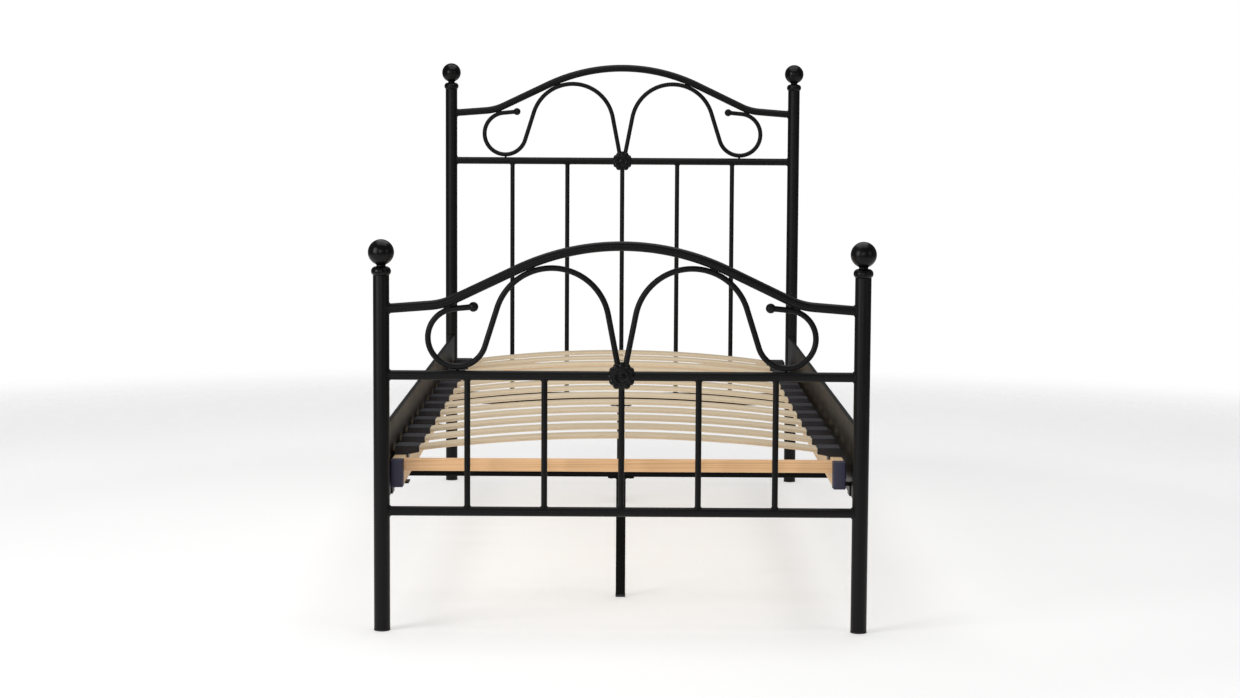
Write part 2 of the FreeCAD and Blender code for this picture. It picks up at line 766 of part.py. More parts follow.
def leg_glides():
    """A plastic glide under each centre leg, plugged into the tube."""
    body = new_body("leg_glides")
    plug = "(leg_size - 2 * bar_wall - 2 * plug_fit)"
    features = [
        block(body, "foot", "glide_size", "glide_size", "glide_base",
              "0 - glide_size / 2", "bar_offset - glide_size / 2", 0),
        block(body, "plug", plug, plug, "glide_plug + glide_base / 2",
              "0 - %s / 2" % plug, "bar_offset - %s / 2" % plug, "glide_base / 2"),
    ]
    multiply(body, "both", features, [mirror_step(body, "along", "XZ")])
    return body


def bar_bolts():
    """A bolt from outside each side rail into each end of each cross bar."""
    bolts = []
    for across in (-1, 1):
        for along in (-1, 1):
            bolt = hex_bolt("bar_bolt_%d" % len(bolts), "bar_bolt_head", "bar_bolt_head_height",
                            "bar_bolt_diameter", "bar_bolt_length")
            bolts.append(place(bolt, "%d * (side_rail_inside / 2 + sheet_thickness)" % across,
                               "%d * bar_offset" % along, BAR_MIDDLE,
                               Rotation(Vector(0, 1, 0), 90 * across)))
    return group("bar_bolts", bolts)


def leg_screws():
    """Two screws up through each leg's plate into the cross bar."""
    screws = []
    for across in (-1, 1):
        for along in (-1, 1):
            screw = round_screw("leg_screw_%d" % len(screws), "leg_screw_head", "leg_screw_head_height",
                                "leg_screw_diameter", "leg_screw_length")
            screws.append(place(screw, "%d * leg_screw_offset" % across, "%d * bar_offset" % along,
                                "bar_top - bar_size - leg_flange_thickness",
                                Rotation(Vector(1, 0, 0), 180)))
    return group("leg_screws", screws)


# ---------------------------------------------------------------- the slat base

SLAT_BASE_FLOOR = "(bar_top + slat_base_gap)"
RAIL_TOP = "(bar_top + slat_base_gap + slat_rail_height)"
RAIL_OUTSIDE = "(slat_base_width / 2 - end_cap_wall)"
RAIL_MIDDLE = "(slat_base_width / 2 - end_cap_wall - slat_rail_width / 2)"
MEMBER_OFFSET = "(slat_base_length / 2 - end_cap_depth - member_width / 2)"
MEMBER_SPAN = "(slat_base_width - 2 * end_cap_wall - 2 * slat_rail_width)"


def slat_rail(side):
    """A long wooden rail, its edges eased, drilled for the screws of the two cross members."""
    way = 1 if side == "right" else -1
    body = new_body("slat_rail_" + side, "slat_base_shift + %d * %s" % (way, RAIL_MIDDLE), 0,
                    SLAT_BASE_FLOOR)
    length = "slat_base_length - 2 * end_cap_wall"
    timber = block(body, "timber", "slat_rail_width", length, "slat_rail_height",
                   "0 - slat_rail_width / 2", "0 - (%s) / 2" % length, 0)
    doc.recompute()
    long_edges = ["Edge%d" % (number + 1) for number, edge in enumerate(timber.Shape.Edges)
                  if edge.Length > size_of("slat_base_length / 2")]
    eased = body.newObject("PartDesign::Fillet", body.Label + "_eased")
    eased.Base = (timber, long_edges)
    bind(eased, Radius="slat_rail_edge")
    for along in (-1, 1):
        cylinder(body, "screw_hole_" + ("a" if along < 0 else "b"), "wood_screw_diameter / 2",
                 "slat_rail_width * 2", "0 - slat_rail_width", "%d * %s" % (along, MEMBER_OFFSET),
                 "slat_rail_height - member_height / 2", ALONG["X"])
    return body


def slat_crossmember(name, along):
    """A wooden bar between the long rails, flush with their tops, drilled in its end grain."""
    body = new_body("slat_crossmember_" + name, "slat_base_shift", "%d * %s" % (along, MEMBER_OFFSET),
                    RAIL_TOP + " - member_height")
    block(body, "timber", MEMBER_SPAN, "member_width", "member_height",
          "0 - %s / 2" % MEMBER_SPAN, "0 - member_width / 2", 0)
    depth = "(wood_screw_length - slat_rail_width)"
    for way in (-1, 1):
        across = "0 - %s / 2" % MEMBER_SPAN if way < 0 else "%s / 2 - %s" % (MEMBER_SPAN, depth)
        cylinder(body, "screw_hole_" + ("a" if way < 0 else "b"), "wood_screw_diameter / 2", depth,
                 across, 0, "member_height / 2", ALONG["X"])
    return body


def rail_end_caps():
    """A plastic cap over each end of each long rail."""
    body = new_body("rail_end_caps", "slat_base_shift", 0, SLAT_BASE_FLOOR + " - end_cap_wall")
    end = "slat_base_length / 2"
    features = [
        block(body, "shell", "slat_rail_width + 2 * end_cap_wall", "end_cap_depth",
              "slat_rail_height + 2 * end_cap_wall",
              RAIL_MIDDLE + " - slat_rail_width / 2 - end_cap_wall", end + " - end_cap_depth", 0),
        block(body, "socket", "slat_rail_width", "end_cap_depth", "slat_rail_height",
              RAIL_MIDDLE + " - slat_rail_width / 2", end + " - end_cap_depth - end_cap_wall",
              "end_cap_wall", cut=True),
    ]
    multiply(body, "four", features,
             [mirror_step(body, "across", "YZ"), mirror_step(body, "along", "XZ")])
    return body


def crossmember_screws():
    """A long screw through each rail into each end of each cross member."""
    screws = []
    for across in (-1, 1):
        for along in (-1, 1):
            screw = round_screw("wood_screw_%d" % len(screws), "wood_screw_head",
                                "wood_screw_head_height", "wood_screw_diameter", "wood_screw_length")
            screws.append(place(screw, "slat_base_shift + %d * %s" % (across, RAIL_OUTSIDE),
                                "%d * %s" % (along, MEMBER_OFFSET), RAIL_TOP + " - member_height / 2",
                                Rotation(Vector(0, 1, 0), 90 * across)))
    return group("crossmember_screws", screws)


def arc_height(x):
    """How far a slat's underside has dropped, x from its middle, below its crown."""
    return "(slat_radius - sqrt(slat_radius ^ 2 - (%s) ^ 2))" % x


# a slat's underside crown, above the tops of the long rails
SLAT_CROWN = "(slat_seat + %s)" % arc_height("slat_half_span")


def slat(number):
    """A bowed strip of laminated wood."""
    body = new_body("slat_%02d" % number, "slat_base_shift",
                    "slat_pitch * (%d - (slat_count + 1) / 2)" % number,
                    "%s + %s" % (RAIL_TOP, SLAT_CROWN))
    sketch = new_sketch(body, body.Label + "_bow", "XZ")
    half = math.asin(size_of("slat_half_span / slat_radius"))
    inner = size_of("slat_radius")
    outer = size_of("slat_radius + slat_thickness")
    centre = Vector(0, -inner, 0)
    arcs = []
    for radius in (inner, outer):
        circle = Part.Circle(centre, Vector(0, 0, 1), radius)
        arcs.append(sketch.addGeometry(Part.ArcOfCircle(circle, math.pi / 2 - half, math.pi / 2 + half),
                                       False))
    ends = []
    for way in (1, -1):
        points = [centre + Vector(way * radius * math.sin(half), radius * math.cos(half), 0)
                  for radius in (inner, outer)]
        ends.append(sketch.addGeometry(Part.LineSegment(*points), False))
    for way, line in enumerate(ends):
        for order, arc in enumerate(arcs):
            constrain(sketch, "Coincident", line, order + 1, arc, way + 1)
    fix_point(sketch, arcs[0], 3, 0, "0 - slat_radius")
    constrain(sketch, "Coincident", arcs[1], 3, arcs[0], 3)
    constrain(sketch, "Radius", arcs[0], formula="slat_radius")
    constrain(sketch, "Radius", arcs[1], formula="slat_radius + slat_thickness")
    constrain(sketch, "DistanceX", -1, 1, arcs[0], 1, formula="slat_half_span")
    constrain(sketch, "DistanceX", arcs[0], 2, -1, 1, formula="slat_half_span")
    constrain(sketch, "PointOnObject", arcs[0], 3, ends[0])
    constrain(sketch, "PointOnObject", arcs[0], 3, ends[1])
    pad(body, sketch, "slat_width", midplane=True)
    return body


def slat_holders():
    """A plastic pocket for each end of each slat, sitting on the rail and hooked over its inner edge."""
    body = new_body("slat_holders", "slat_base_shift", "0 - slat_pitch * (slat_count - 1) / 2", RAIL_TOP)
    outside = RAIL_OUTSIDE + " - holder_inset"
    mouth = RAIL_OUTSIDE + " - holder_reach"
    inner_edge = RAIL_OUTSIDE + " - slat_rail_width"
    profile = new_sketch(body, "holder_outline", "XZ")
    add_outline(profile, [
        (outside, 0),
        (inner_edge, 0),
        (mouth, "holder_lift"),
        (mouth, "holder_height"),
        (outside + " - holder_wall", "holder_height"),
        (outside, "holder_height - holder_wall"),
    ])
    pocket_width = "slat_width + 2 * slot_fit"
    shell = pad(body, profile, pocket_width + " + 2 * holder_wall", midplane=True)
    drop = "%s - %s" % (SLAT_CROWN, "%s")
    slat_end = "slat_half_span * (1 + slat_thickness / slat_radius) + slot_fit"
    past = mouth + " - holder_lift"
    opening = new_sketch(body, "holder_slot", "XZ")
    add_outline(opening, [
        (slat_end, drop % arc_height(slat_end) + " - slot_fit"),
        (past, drop % arc_height(past) + " - slot_fit"),
        (past, drop % arc_height(past) + " + slat_thickness + slot_fit"),
        (slat_end, drop % arc_height(slat_end) + " + slat_thickness + slot_fit"),
    ])
    slot = body.newObject("PartDesign::Pocket", "holder_slot_cut")
    slot.Profile = opening
    slot.Midplane = True
    bind(slot, Length=pocket_width)
    hook = new_sketch(body, "holder_hook", "XZ")
    step = inner_edge + " - clearance"
    add_outline(hook, [
        (step, "0 - holder_leg"),
        (step + " - holder_leg_thickness", "holder_leg_thickness / 3 - holder_leg"),
        (step + " - holder_leg_thickness", "holder_lift / 4"),
        (step, "holder_lift / 8"),
    ])
    leg = pad(body, hook, "holder_leg_width", midplane=True)
    multiply(body, "all", [shell, slot, leg], [
        mirror_step(body, "across", "YZ"),
        row_step(body, "row", "Y", "slat_pitch * (slat_count - 1)", "slat_count"),
    ])
    return body


# ---------------------------------------------------------------- build, check and write

def build():
    """Make every sub-part and return them all."""
    pieces = []
    for name in ("foot", "head"):
        board = Board(name)
        for way in (-1, 1):
            pieces += [post(board, way), finial(board, way), foot_cap(board, way), scroll(board, way)]
        pieces += [
            straight_rail(board, "upper_rail", board.rail),
            straight_rail(board, "lower_rail", "lower_rail_height"),
            arch_rail(board),
            spindles(board),
            rosette(board, "front"),
            rosette(board, "back"),
        ]
    pieces += [side_rail("left"), side_rail("right"), post_plates(), corner_bolts(), ledge_tabs()]
    for name, along in (("foot", -1), ("head", 1)):
        pieces += [cross_bar(name, along), centre_leg(name, along), slat_crossmember(name, along)]
    pieces += [leg_glides(), bar_bolts(), leg_screws()]
    pieces += [slat_rail("left"), slat_rail("right"), rail_end_caps(), crossmember_screws(), slat_holders()]
    pieces += [slat(number + 1) for number in range(DIMENSIONS["slat_count"])]
    return pieces


def check(pieces):
    """Stop if any object failed, or any sub-part isn't one or more sound solids."""
    failed = [thing.Label for thing in doc.Objects if {"Invalid", "Error"} & set(thing.State)]
    if failed:
        raise RuntimeError("failed: " + ", ".join(failed))
    for piece in pieces:
        if piece.Shape.isNull() or not piece.Shape.isValid() or not piece.Shape.Solids:
            raise RuntimeError("not a sound solid: " + piece.Label)


def write(pieces):
    """Write each sub-part to its own file."""
    os.makedirs("parts", exist_ok=True)
    for piece in pieces:
        piece.Shape.exportStep("parts/%s.step" % piece.Label)


sub_parts = build()
doc.recompute()
check(sub_parts)
write(sub_parts)
for sub_part in sub_parts:
    print("%-26s solids %2d  volume %10.0f" % (sub_part.Label, len(sub_part.Shape.Solids),
                                               sub_part.Shape.Volume))
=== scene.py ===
import math

import bmesh
import bpy
from mathutils import Matrix, Vector


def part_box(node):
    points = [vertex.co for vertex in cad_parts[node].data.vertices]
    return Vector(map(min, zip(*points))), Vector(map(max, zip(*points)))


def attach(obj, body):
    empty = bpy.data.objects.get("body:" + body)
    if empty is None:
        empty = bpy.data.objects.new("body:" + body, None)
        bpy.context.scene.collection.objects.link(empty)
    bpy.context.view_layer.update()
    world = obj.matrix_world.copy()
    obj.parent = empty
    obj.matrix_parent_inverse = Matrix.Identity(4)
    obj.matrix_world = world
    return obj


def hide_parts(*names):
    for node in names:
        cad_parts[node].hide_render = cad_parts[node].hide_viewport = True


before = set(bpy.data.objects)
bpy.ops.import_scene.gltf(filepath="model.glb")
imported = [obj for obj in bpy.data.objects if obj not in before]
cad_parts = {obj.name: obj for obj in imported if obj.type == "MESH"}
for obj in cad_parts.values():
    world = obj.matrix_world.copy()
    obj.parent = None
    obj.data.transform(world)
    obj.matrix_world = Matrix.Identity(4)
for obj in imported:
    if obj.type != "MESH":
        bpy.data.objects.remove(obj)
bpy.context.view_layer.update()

# The looks of a single bed frame: black powder-coated tube with scrollwork, and a sprung wooden slat
# base.  Metres, in the frame of the CAD model.  Each visible piece stands for one CAD node.

MM = 0.001
AXIS_GAP = 1 * MM    # a turned profile starts this far from its axis
ACROSS = Vector((1, 0, 0))
ALONG = Vector((0, 1, 0))
UP = Vector((0, 0, 1))

# bend schedules of a board, from the middle of its upper rail
ARCH_RISE = 254.3 * MM
ARCH_RADIUS = 475 * MM
ARCH_HALF_ANGLE = 25.5
ARCH_FLANK = 134.8 * MM
SHOULDER_RADIUS = 140 * MM
SHOULDER_SLOPE = 4.5
ROD_RADIUS = 5.75 * MM
SCROLL_START = 3.64 * MM
SCROLL_LEAN = 11
SCROLL_STEPS = (
    ("straight", 122.45 * MM),
    ("right", 112 * MM, 151.5),
    ("straight", 79.3 * MM),
    ("left", 57 * MM, 247),
    ("straight", 37.6 * MM),
)
TIP_BALL_RADIUS = 9.75 * MM

# finials, above the top of the post
BEAD_CENTRE = 9.8 * MM
BEAD_RADIUS = 9.7 * MM
BEAD_HEIGHT = 8 * MM
NECK_RADIUS = 9 * MM
BALL_RADIUS = 25.5 * MM

# rosettes: radii and half widths about the middle of the flower, and heights of its face
PETALS = 12
PETAL_RADIUS = 7.5 * MM
PETAL_CENTRE = 19.7 * MM
ROSETTE_STEPS = 46
FACE_HEIGHT = 11.6 * MM
BUTTON_RADIUS = 4.4 * MM
BUTTON_RISE = 2.0 * MM
DIMPLE_RADIUS = 1.1 * MM
DIMPLE_DEPTH = 0.8 * MM
BOWL_RADIUS = 8.4 * MM
BOWL_WIDTH = 5.2 * MM
BOWL_DEPTH = 1.1 * MM
RIM_RADIUS = 13.8 * MM
RIM_WIDTH = 2.4 * MM
RIM_RISE = 1.7 * MM
FLUTE_RADIUS = 15.6 * MM
FLUTE_WIDTH = 2.6 * MM
FLUTE_DEPTH = 0.7 * MM
GROOVE_RADIUS = 17.0 * MM
GROOVE_WIDTH = 1.2 * MM
GROOVE_DEPTH = 0.6 * MM
PETAL_START = 16.5 * MM
PETAL_FALL = 3.2 * MM
PETAL_VALLEY = 1.3 * MM

# side rails and slat base
SHEET = 2 * MM
SPINDLES = 5
TABS = 3
BOLT_EDGE = 35 * MM
SLATS = 13
SLAT_RADIUS = 3.05
SLAT_THICKNESS = 8 * MM
PLIES = 7
HOLDER_REACH = 49 * MM
HOLDER_LIFT = 5 * MM
RAIL_CLEARANCE = 0.02 * MM
CAP_WALL = 1.2 * MM

# welds
WELD_RADIUS = 1.9 * MM
WELD_PITCH = 2.3 * MM
WELD_RIPPLE = 0.13
WELD_CURVE_SIDES = 160
SPINDLE_WELD_RADIUS = WELD_RADIUS * 0.8
ARCH_WELD_RADIUS = 2.0 * MM
TAB_WELD_RADIUS = 1.6 * MM
SEAM_TIP = 0.02    # the squared size of a seam's tapered tip, as a part of the bead's

# how finely round pieces are cut
TUBE_SIDES = 72
TURNED_SIDES = 96
SHARP_EDGE = 38


# ---- materials

class Graph:
    """A node material, with its shader ready."""

    def __init__(self, name):
        self.material = bpy.data.materials.new(name)
        self.material.use_nodes = True
        self.tree = self.material.node_tree
        self.tree.nodes.clear()
        self.shader = self.add("BsdfPrincipled")
        output = self.add("OutputMaterial")
        self.tree.links.new(self.shader.outputs["BSDF"], output.inputs["Surface"])
        self.place = self.add("TexCoord").outputs["Object"]

    def add(self, kind, inputs=(), **settings):
        """A node with its settings, and its inputs given as values or as other nodes' sockets."""
        node = self.tree.nodes.new("ShaderNode" + kind)
        for name, value in settings.items():
            setattr(node, name, value)
        for name, value in dict(inputs).items():
            self.put(node.inputs[name], value)
        return node

    def put(self, socket, value):
        """Set an input socket, or link another node's socket to it."""
        if isinstance(value, bpy.types.NodeSocket):
            self.tree.links.new(value, socket)
        else:
            socket.default_value = value

    def noise(self, scale, detail=2.0, roughness=0.5, place=None, distortion=0.0):
        """Noise of a size, as a factor."""
        inputs = {"Vector": place or self.place, "Scale": scale, "Detail": detail,
                  "Roughness": roughness, "Distortion": distortion}
        return self.add("TexNoise", inputs).outputs["Fac"]

    def stretched(self, scales):
        """The surface's place with each axis scaled."""
        return self.add("Mapping", {"Vector": self.place, "Scale": scales}).outputs["Vector"]

    def ramp(self, factor, *stops):
        """A colour ramp with stops given as a place and a colour."""
        node = self.add("ValToRGB", {"Fac": factor})
        elements = node.color_ramp.elements
        while len(elements) < len(stops):
            elements.new(0.5)
        for element, (place, colour) in zip(elements, stops):
            element.position = place
            element.color = (*colour, 1)
        return node.outputs["Color"]

    def spread(self, factor, low, high, start=0.25, end=0.75):
        """A factor spread over a range."""
        inputs = {"Value": factor, "From Min": start, "From Max": end, "To Min": low, "To Max": high}
        return self.add("MapRange", inputs).outputs["Result"]

    def blend(self, factor, first, second):
        """Two colours mixed by a factor."""
        node = self.add("Mix", data_type="RGBA")
        sockets = {socket.identifier: socket for socket in (*node.inputs, *node.outputs)}
        self.put(sockets["Factor_Float"], factor)
        for name, colour in (("A_Color", first), ("B_Color", second)):
            self.put(sockets[name], (*colour, 1) if isinstance(colour, tuple) else colour)
        return sockets["Result_Color"]

    def math(self, operation, first, second=0.0):
        """One sum on numbers or sockets."""
        node = self.add("Math", operation=operation)
        for socket, value in zip(node.inputs, (first, second)):
            self.put(socket, value)
        return node.outputs["Value"]

    def bumps(self, *layers):
        """Bumps on top of each other, each a height, a depth in metres and a strength."""
        normal = None
        for height, depth, strength in layers:
            node = self.add("Bump", {"Height": height, "Distance": depth, "Strength": strength})
            if normal is not None:
                self.put(node.inputs["Normal"], normal)
            normal = node.outputs["Normal"]
        return normal

    def finish(self, **inputs):
        """Set the shader's inputs, named with underscores for spaces."""
        for name, value in inputs.items():
            self.put(self.shader.inputs[name.replace("_", " ")], value)
        return self.material


def powder_coat(name, dark, light, smooth, rough, peel, shine):
    """Sprayed and baked black: faint orange peel, a slight mottle in shade and gloss."""
    graph = Graph(name)
    mottle = graph.noise(9, detail=3)
    speckle = graph.noise(900, detail=1)
    peel_depth = 0.05 * MM
    colour = graph.ramp(mottle, (0.3, dark), (0.7, light))
    gloss = graph.math("ADD", graph.spread(mottle, smooth, rough), graph.spread(speckle, -0.02, 0.02))
    normal = graph.bumps((graph.noise(420, detail=2), peel_depth, peel))
    return graph.finish(Base_Color=colour, Roughness=gloss, Normal=normal, Specular_IOR_Level=shine)


def moulded(name, dark, light, smooth, rough, grain):
    """Moulded plastic with a fine spark-eroded texture."""
    graph = Graph(name)
    cloud = graph.noise(30, detail=4)
    texture = graph.noise(2600, detail=3, roughness=0.7)
    texture_depth = 0.05 * MM
    colour = graph.ramp(cloud, (0.3, dark), (0.7, light))
    gloss = graph.math("ADD", graph.spread(cloud, smooth, rough), graph.spread(texture, -0.05, 0.05))
    return graph.finish(Base_Color=colour, Roughness=gloss,
                        Normal=graph.bumps((texture, texture_depth, grain)))


def zinc(name):
    """Zinc plate: metal with a soft crystal mottle and a slight yellow passivation."""
    graph = Graph(name)
    crystals = graph.add("TexVoronoi", {"Vector": graph.place, "Scale": 420}).outputs["Distance"]
    film = graph.noise(120, detail=4)
    film_depth = 0.03 * MM
    colour = graph.ramp(film, (0.3, (0.36, 0.35, 0.31)), (0.7, (0.52, 0.51, 0.47)))
    gloss = graph.spread(crystals, 0.28, 0.46, 0.0, 0.8)
    return graph.finish(Base_Color=colour, Metallic=1.0, Roughness=gloss,
                        Normal=graph.bumps((film, film_depth, 0.4)))


def stretched_grain(graph, axis, long_scale, cross_scale):
    """Coordinates drawn out along one axis, so that noise reads as fibres."""
    scales = [cross_scale] * 3
    scales[axis] = long_scale
    return graph.stretched(scales)


def softwood(name, axis, pale, tan, brown):
    """Planed softwood: growth bands and fibres drawn out along the piece, and a few dark pores."""
    graph = Graph(name)
    bands_place = stretched_grain(graph, axis, 0.9, 42)
    bands = graph.noise(1.0, detail=3, roughness=0.45, place=bands_place, distortion=0.9)
    rings_per_band = 7.0
    rings = graph.math("FRACT", graph.math("MULTIPLY", bands, rings_per_band))
    fibres = graph.noise(1.0, detail=4, roughness=0.65, place=stretched_grain(graph, axis, 14, 900))
    pores = graph.noise(1.0, detail=1, place=stretched_grain(graph, axis, 40, 1500))
    colour = graph.ramp(rings, (0.0, pale), (0.62, tan), (0.9, brown), (1.0, pale))
    colour = graph.blend(graph.spread(fibres, 0.0, 0.42), colour, tan)
    colour = graph.blend(graph.spread(pores, 0.0, 0.35, 0.66, 0.78), colour, brown)
    return graph.finish(
        Base_Color=colour,
        Roughness=graph.spread(fibres, 0.5, 0.62),
        Normal=graph.bumps((fibres, 0.2 * MM, 0.22), (rings, 0.1 * MM, 0.12)))


def laminate(name, crown, pale, warm, glue):
    """Bent birch laminate: fine grain along the slat, and plies with glue lines on its edges."""
    graph = Graph(name)
    inner = crown + Vector((0, 0, -SLAT_RADIUS))
    out = graph.add("VectorMath", {0: graph.place, 1: inner}, operation="SUBTRACT").outputs["Vector"]
    flat = graph.add("VectorMath", {0: out, 1: (1, 0, 1)}, operation="MULTIPLY").outputs["Vector"]
    reach = graph.add("VectorMath", {0: flat}, operation="LENGTH").outputs["Value"]
    depth = graph.math("SUBTRACT", reach, SLAT_RADIUS)
    ply = graph.math("MULTIPLY", depth, PLIES / SLAT_THICKNESS)
    in_ply = graph.math("FRACT", ply)
    line = graph.spread(graph.math("ABSOLUTE", graph.math("SUBTRACT", in_ply, 0.5)), 0, 1, 0.4, 0.47)
    shade = graph.add("TexWhiteNoise", {"W": graph.math("FLOOR", ply)},
                      noise_dimensions="1D").outputs["Value"]
    fibres = graph.noise(1.0, detail=4, roughness=0.6, place=graph.stretched((10, 700, 700)))
    figure = graph.noise(1.0, detail=3, place=graph.stretched((1.4, 34, 6)), distortion=0.8)
    face_up = graph.add("SeparateXYZ", {0: graph.add("NewGeometry").outputs["Normal"]}).outputs["Z"]
    edge = graph.spread(graph.math("ABSOLUTE", face_up), 1, 0, 0.35, 0.75)
    colour = graph.ramp(figure, (0.32, pale), (0.68, warm))
    colour = graph.blend(graph.spread(fibres, 0.0, 0.35), colour, warm)
    plies = graph.blend(graph.spread(shade, 0.0, 0.8, 0, 1), pale, warm)
    plies = graph.blend(line, plies, glue)
    colour = graph.blend(edge, colour, plies)
    return graph.finish(Base_Color=colour, Roughness=graph.spread(fibres, 0.42, 0.56),
                        Normal=graph.bumps((fibres, 0.15 * MM, 0.2)))


# ---- shapes

def circle_angles(sides):
    """Evenly spaced angles round a circle."""
    return [2 * math.pi * number / sides for number in range(sides)]


def ring(centre, across, up, radius, sides):
    """Points round a circle."""
    return [centre + (across * math.cos(a) + up * math.sin(a)) * radius for a in circle_angles(sides)]


def loft(bm, rings, closed=False):
    """A skin over rings of as many points each, with its ends closed unless it closes on itself."""
    loops = [[bm.verts.new(point) for point in points] for points in rings]
    pairs = list(zip(loops, loops[1:]))
    if closed:
        pairs.append((loops[-1], loops[0]))
    for low, high in pairs:
        for number in range(len(low)):
            after = (number + 1) % len(low)
            bm.faces.new((low[number], low[after], high[after], high[number]))
    if not closed:
        bm.faces.new(list(reversed(loops[0])))
        bm.faces.new(loops[-1])


def bends(start, heading, steps, turn_step=2.5):
    """Stations along straights and arcs in the board's plane: a point and a heading each."""
    point = Vector(start)
    angle = math.radians(heading)
    stations = [(point.copy(), angle)]
    for kind, length, *turn in steps:
        if kind == "straight":
            point += Vector((math.cos(angle), math.sin(angle))) * length
            stations.append((point.copy(), angle))
            continue
        way = 1 if kind == "left" else -1
        count = math.ceil(turn[0] / turn_step)
        each = way * math.radians(turn[0]) / count
        centre = point + Vector((-math.sin(angle), math.cos(angle))) * way * length
        for _ in range(count):
            angle += each
            point = centre - Vector((-math.sin(angle), math.cos(angle))) * way * length
            stations.append((point.copy(), angle))
    return stations


def bent_rings(stations, origin, radius, sides, mirrored=False):
    """Rings along stations in the XZ plane through an origin."""
    side = -1 if mirrored else 1
    rings = []
    for point, angle in stations:
        centre = origin + Vector((side * point.x, 0, point.y))
        normal = Vector((-side * math.sin(angle), 0, math.cos(angle)))
        rings.append(ring(centre, normal, ALONG, radius, sides))
    return rings


def joint_ring(point, heading, across, up, radius, hub, hub_axis, hub_radius, sides):
    """Where a round bar that heads into a round hub first meets the hub's surface."""
    flat_heading = heading - hub_axis * heading.dot(hub_axis)
    points = []
    for start in ring(point, across, up, radius, sides):
        offset = start - hub
        offset -= hub_axis * offset.dot(hub_axis)
        a = flat_heading.length_squared
        b = 2 * offset.dot(flat_heading)
        c = offset.length_squared - hub_radius ** 2
        points.append(start + heading * (-b - math.sqrt(b * b - 4 * a * c)) / (2 * a))
    return points


def weld_bead(bm, curve, middle, radius=WELD_RADIUS, sides=10):
    """A closed bead along a joint, with the ripples of a hand weld."""
    count = len(curve)
    run = 0.0
    total = sum((curve[(n + 1) % count] - curve[n]).length for n in range(count))
    ripples = round(total / WELD_PITCH)
    rings = []
    for number, point in enumerate(curve):
        tangent = (curve[(number + 1) % count] - curve[number - 1]).normalized()
        outward = point - middle
        outward = (outward - tangent * outward.dot(tangent)).normalized()
        swell = 1 + WELD_RIPPLE * abs(math.sin(math.pi * ripples * run / total))
        rings.append(ring(point, outward, tangent.cross(outward), radius * swell, sides))
        run += (curve[(number + 1) % count] - point).length
    loft(bm, rings, closed=True)


def seam_weld(bm, start, end, radius, sides=10, steps=40):
    """An open bead between two points, tapering at both ends."""
    heading = (end - start).normalized()
    across = heading.cross(ALONG).normalized()
    up = heading.cross(across)
    length = (end - start).length
    rings = []
    for number in range(steps + 1):
        part = number / steps
        taper = math.sqrt(max(SEAM_TIP, 1 - (2 * part - 1) ** 4))
        swell = 1 + WELD_RIPPLE * abs(math.sin(math.pi * part * length / WELD_PITCH))
        rings.append(ring(start.lerp(end, part), across, up, radius * taper * swell, sides))
    loft(bm, rings)


def arc_points(centre, radius, start, end, count):
    """Points along an arc of a profile, its angles in degrees."""
    step = (end - start) / count
    return [(centre[0] + radius * math.cos(math.radians(start + step * n)),
             centre[1] + radius * math.sin(math.radians(start + step * n))) for n in range(count + 1)]


def lathe(bm, profile, base, axis=UP, sides=64):
    """A turned piece: a profile of radius and height pairs, which starts and ends near the axis."""
    across = axis.orthogonal().normalized()
    up = axis.cross(across)
    rings = [ring(base + axis * height, across, up, radius, sides) for radius, height in profile]
    loft(bm, rings)


def rounded(corners, radius, steps=4):
    """An outline with its corners rounded, by one radius or by one for each corner."""
    radii = radius if isinstance(radius, (list, tuple)) else [radius] * len(corners)
    points = []
    for number, corner in enumerate(corners):
        here = Vector(corner)
        to_last = (Vector(corners[number - 1]) - here).normalized()
        to_next = (Vector(corners[(number + 1) % len(corners)]) - here).normalized()
        if radii[number] == 0:
            points.append(here)
            continue
        half = to_last.angle(to_next) / 2
        middle = (to_last + to_next).normalized()
        centre = here + middle * radii[number] / math.sin(half)
        first = here + to_last * radii[number] / math.tan(half) - centre
        last = here + to_next * radii[number] / math.tan(half) - centre
        sweep = first.angle_signed(last)
        for step in range(steps + 1):
            angle = -sweep * step / steps
            points.append(centre + Matrix.Rotation(angle, 2) @ first)
    return points


def rectangle(width, height, x=0.0, y=0.0):
    """Corners of a rectangle about a middle."""
    return [(x - width / 2, y - height / 2), (x + width / 2, y - height / 2),
            (x + width / 2, y + height / 2), (x - width / 2, y + height / 2)]


def prism(bm, outline, low, high, axis="Y", ease=0.0):
    """An outline drawn out along an axis, its end edges eased by a bevel when asked."""
    lay = {
        "X": lambda a, b, t: Vector((t, a, b)),
        "Y": lambda a, b, t: Vector((a, t, b)),
        "Z": lambda a, b, t: Vector((a, b, t)),
    }[axis]
    part = bmesh.new()
    loft(part, [[lay(a, b, t) for a, b in outline] for t in (low, high)])
    if ease:
        ends = [edge for edge in part.edges
                if any(len(face.verts) > 4 or len(outline) == 4 for face in edge.link_faces)
                and edge.calc_face_angle(0) > math.radians(50)]
        bmesh.ops.bevel(part, geom=ends, offset=ease, segments=3, profile=0.5, affect="EDGES",
                        clamp_overlap=True)
    merge(bm, part)


def merge(bm, part):
    """Join a part's mesh onto a larger one, and free the part."""
    bmesh.ops.recalc_face_normals(part, faces=part.faces)
    mesh = bpy.data.meshes.new("part")
    part.to_mesh(mesh)
    part.free()
    bm.from_mesh(mesh)
    bpy.data.meshes.remove(mesh)


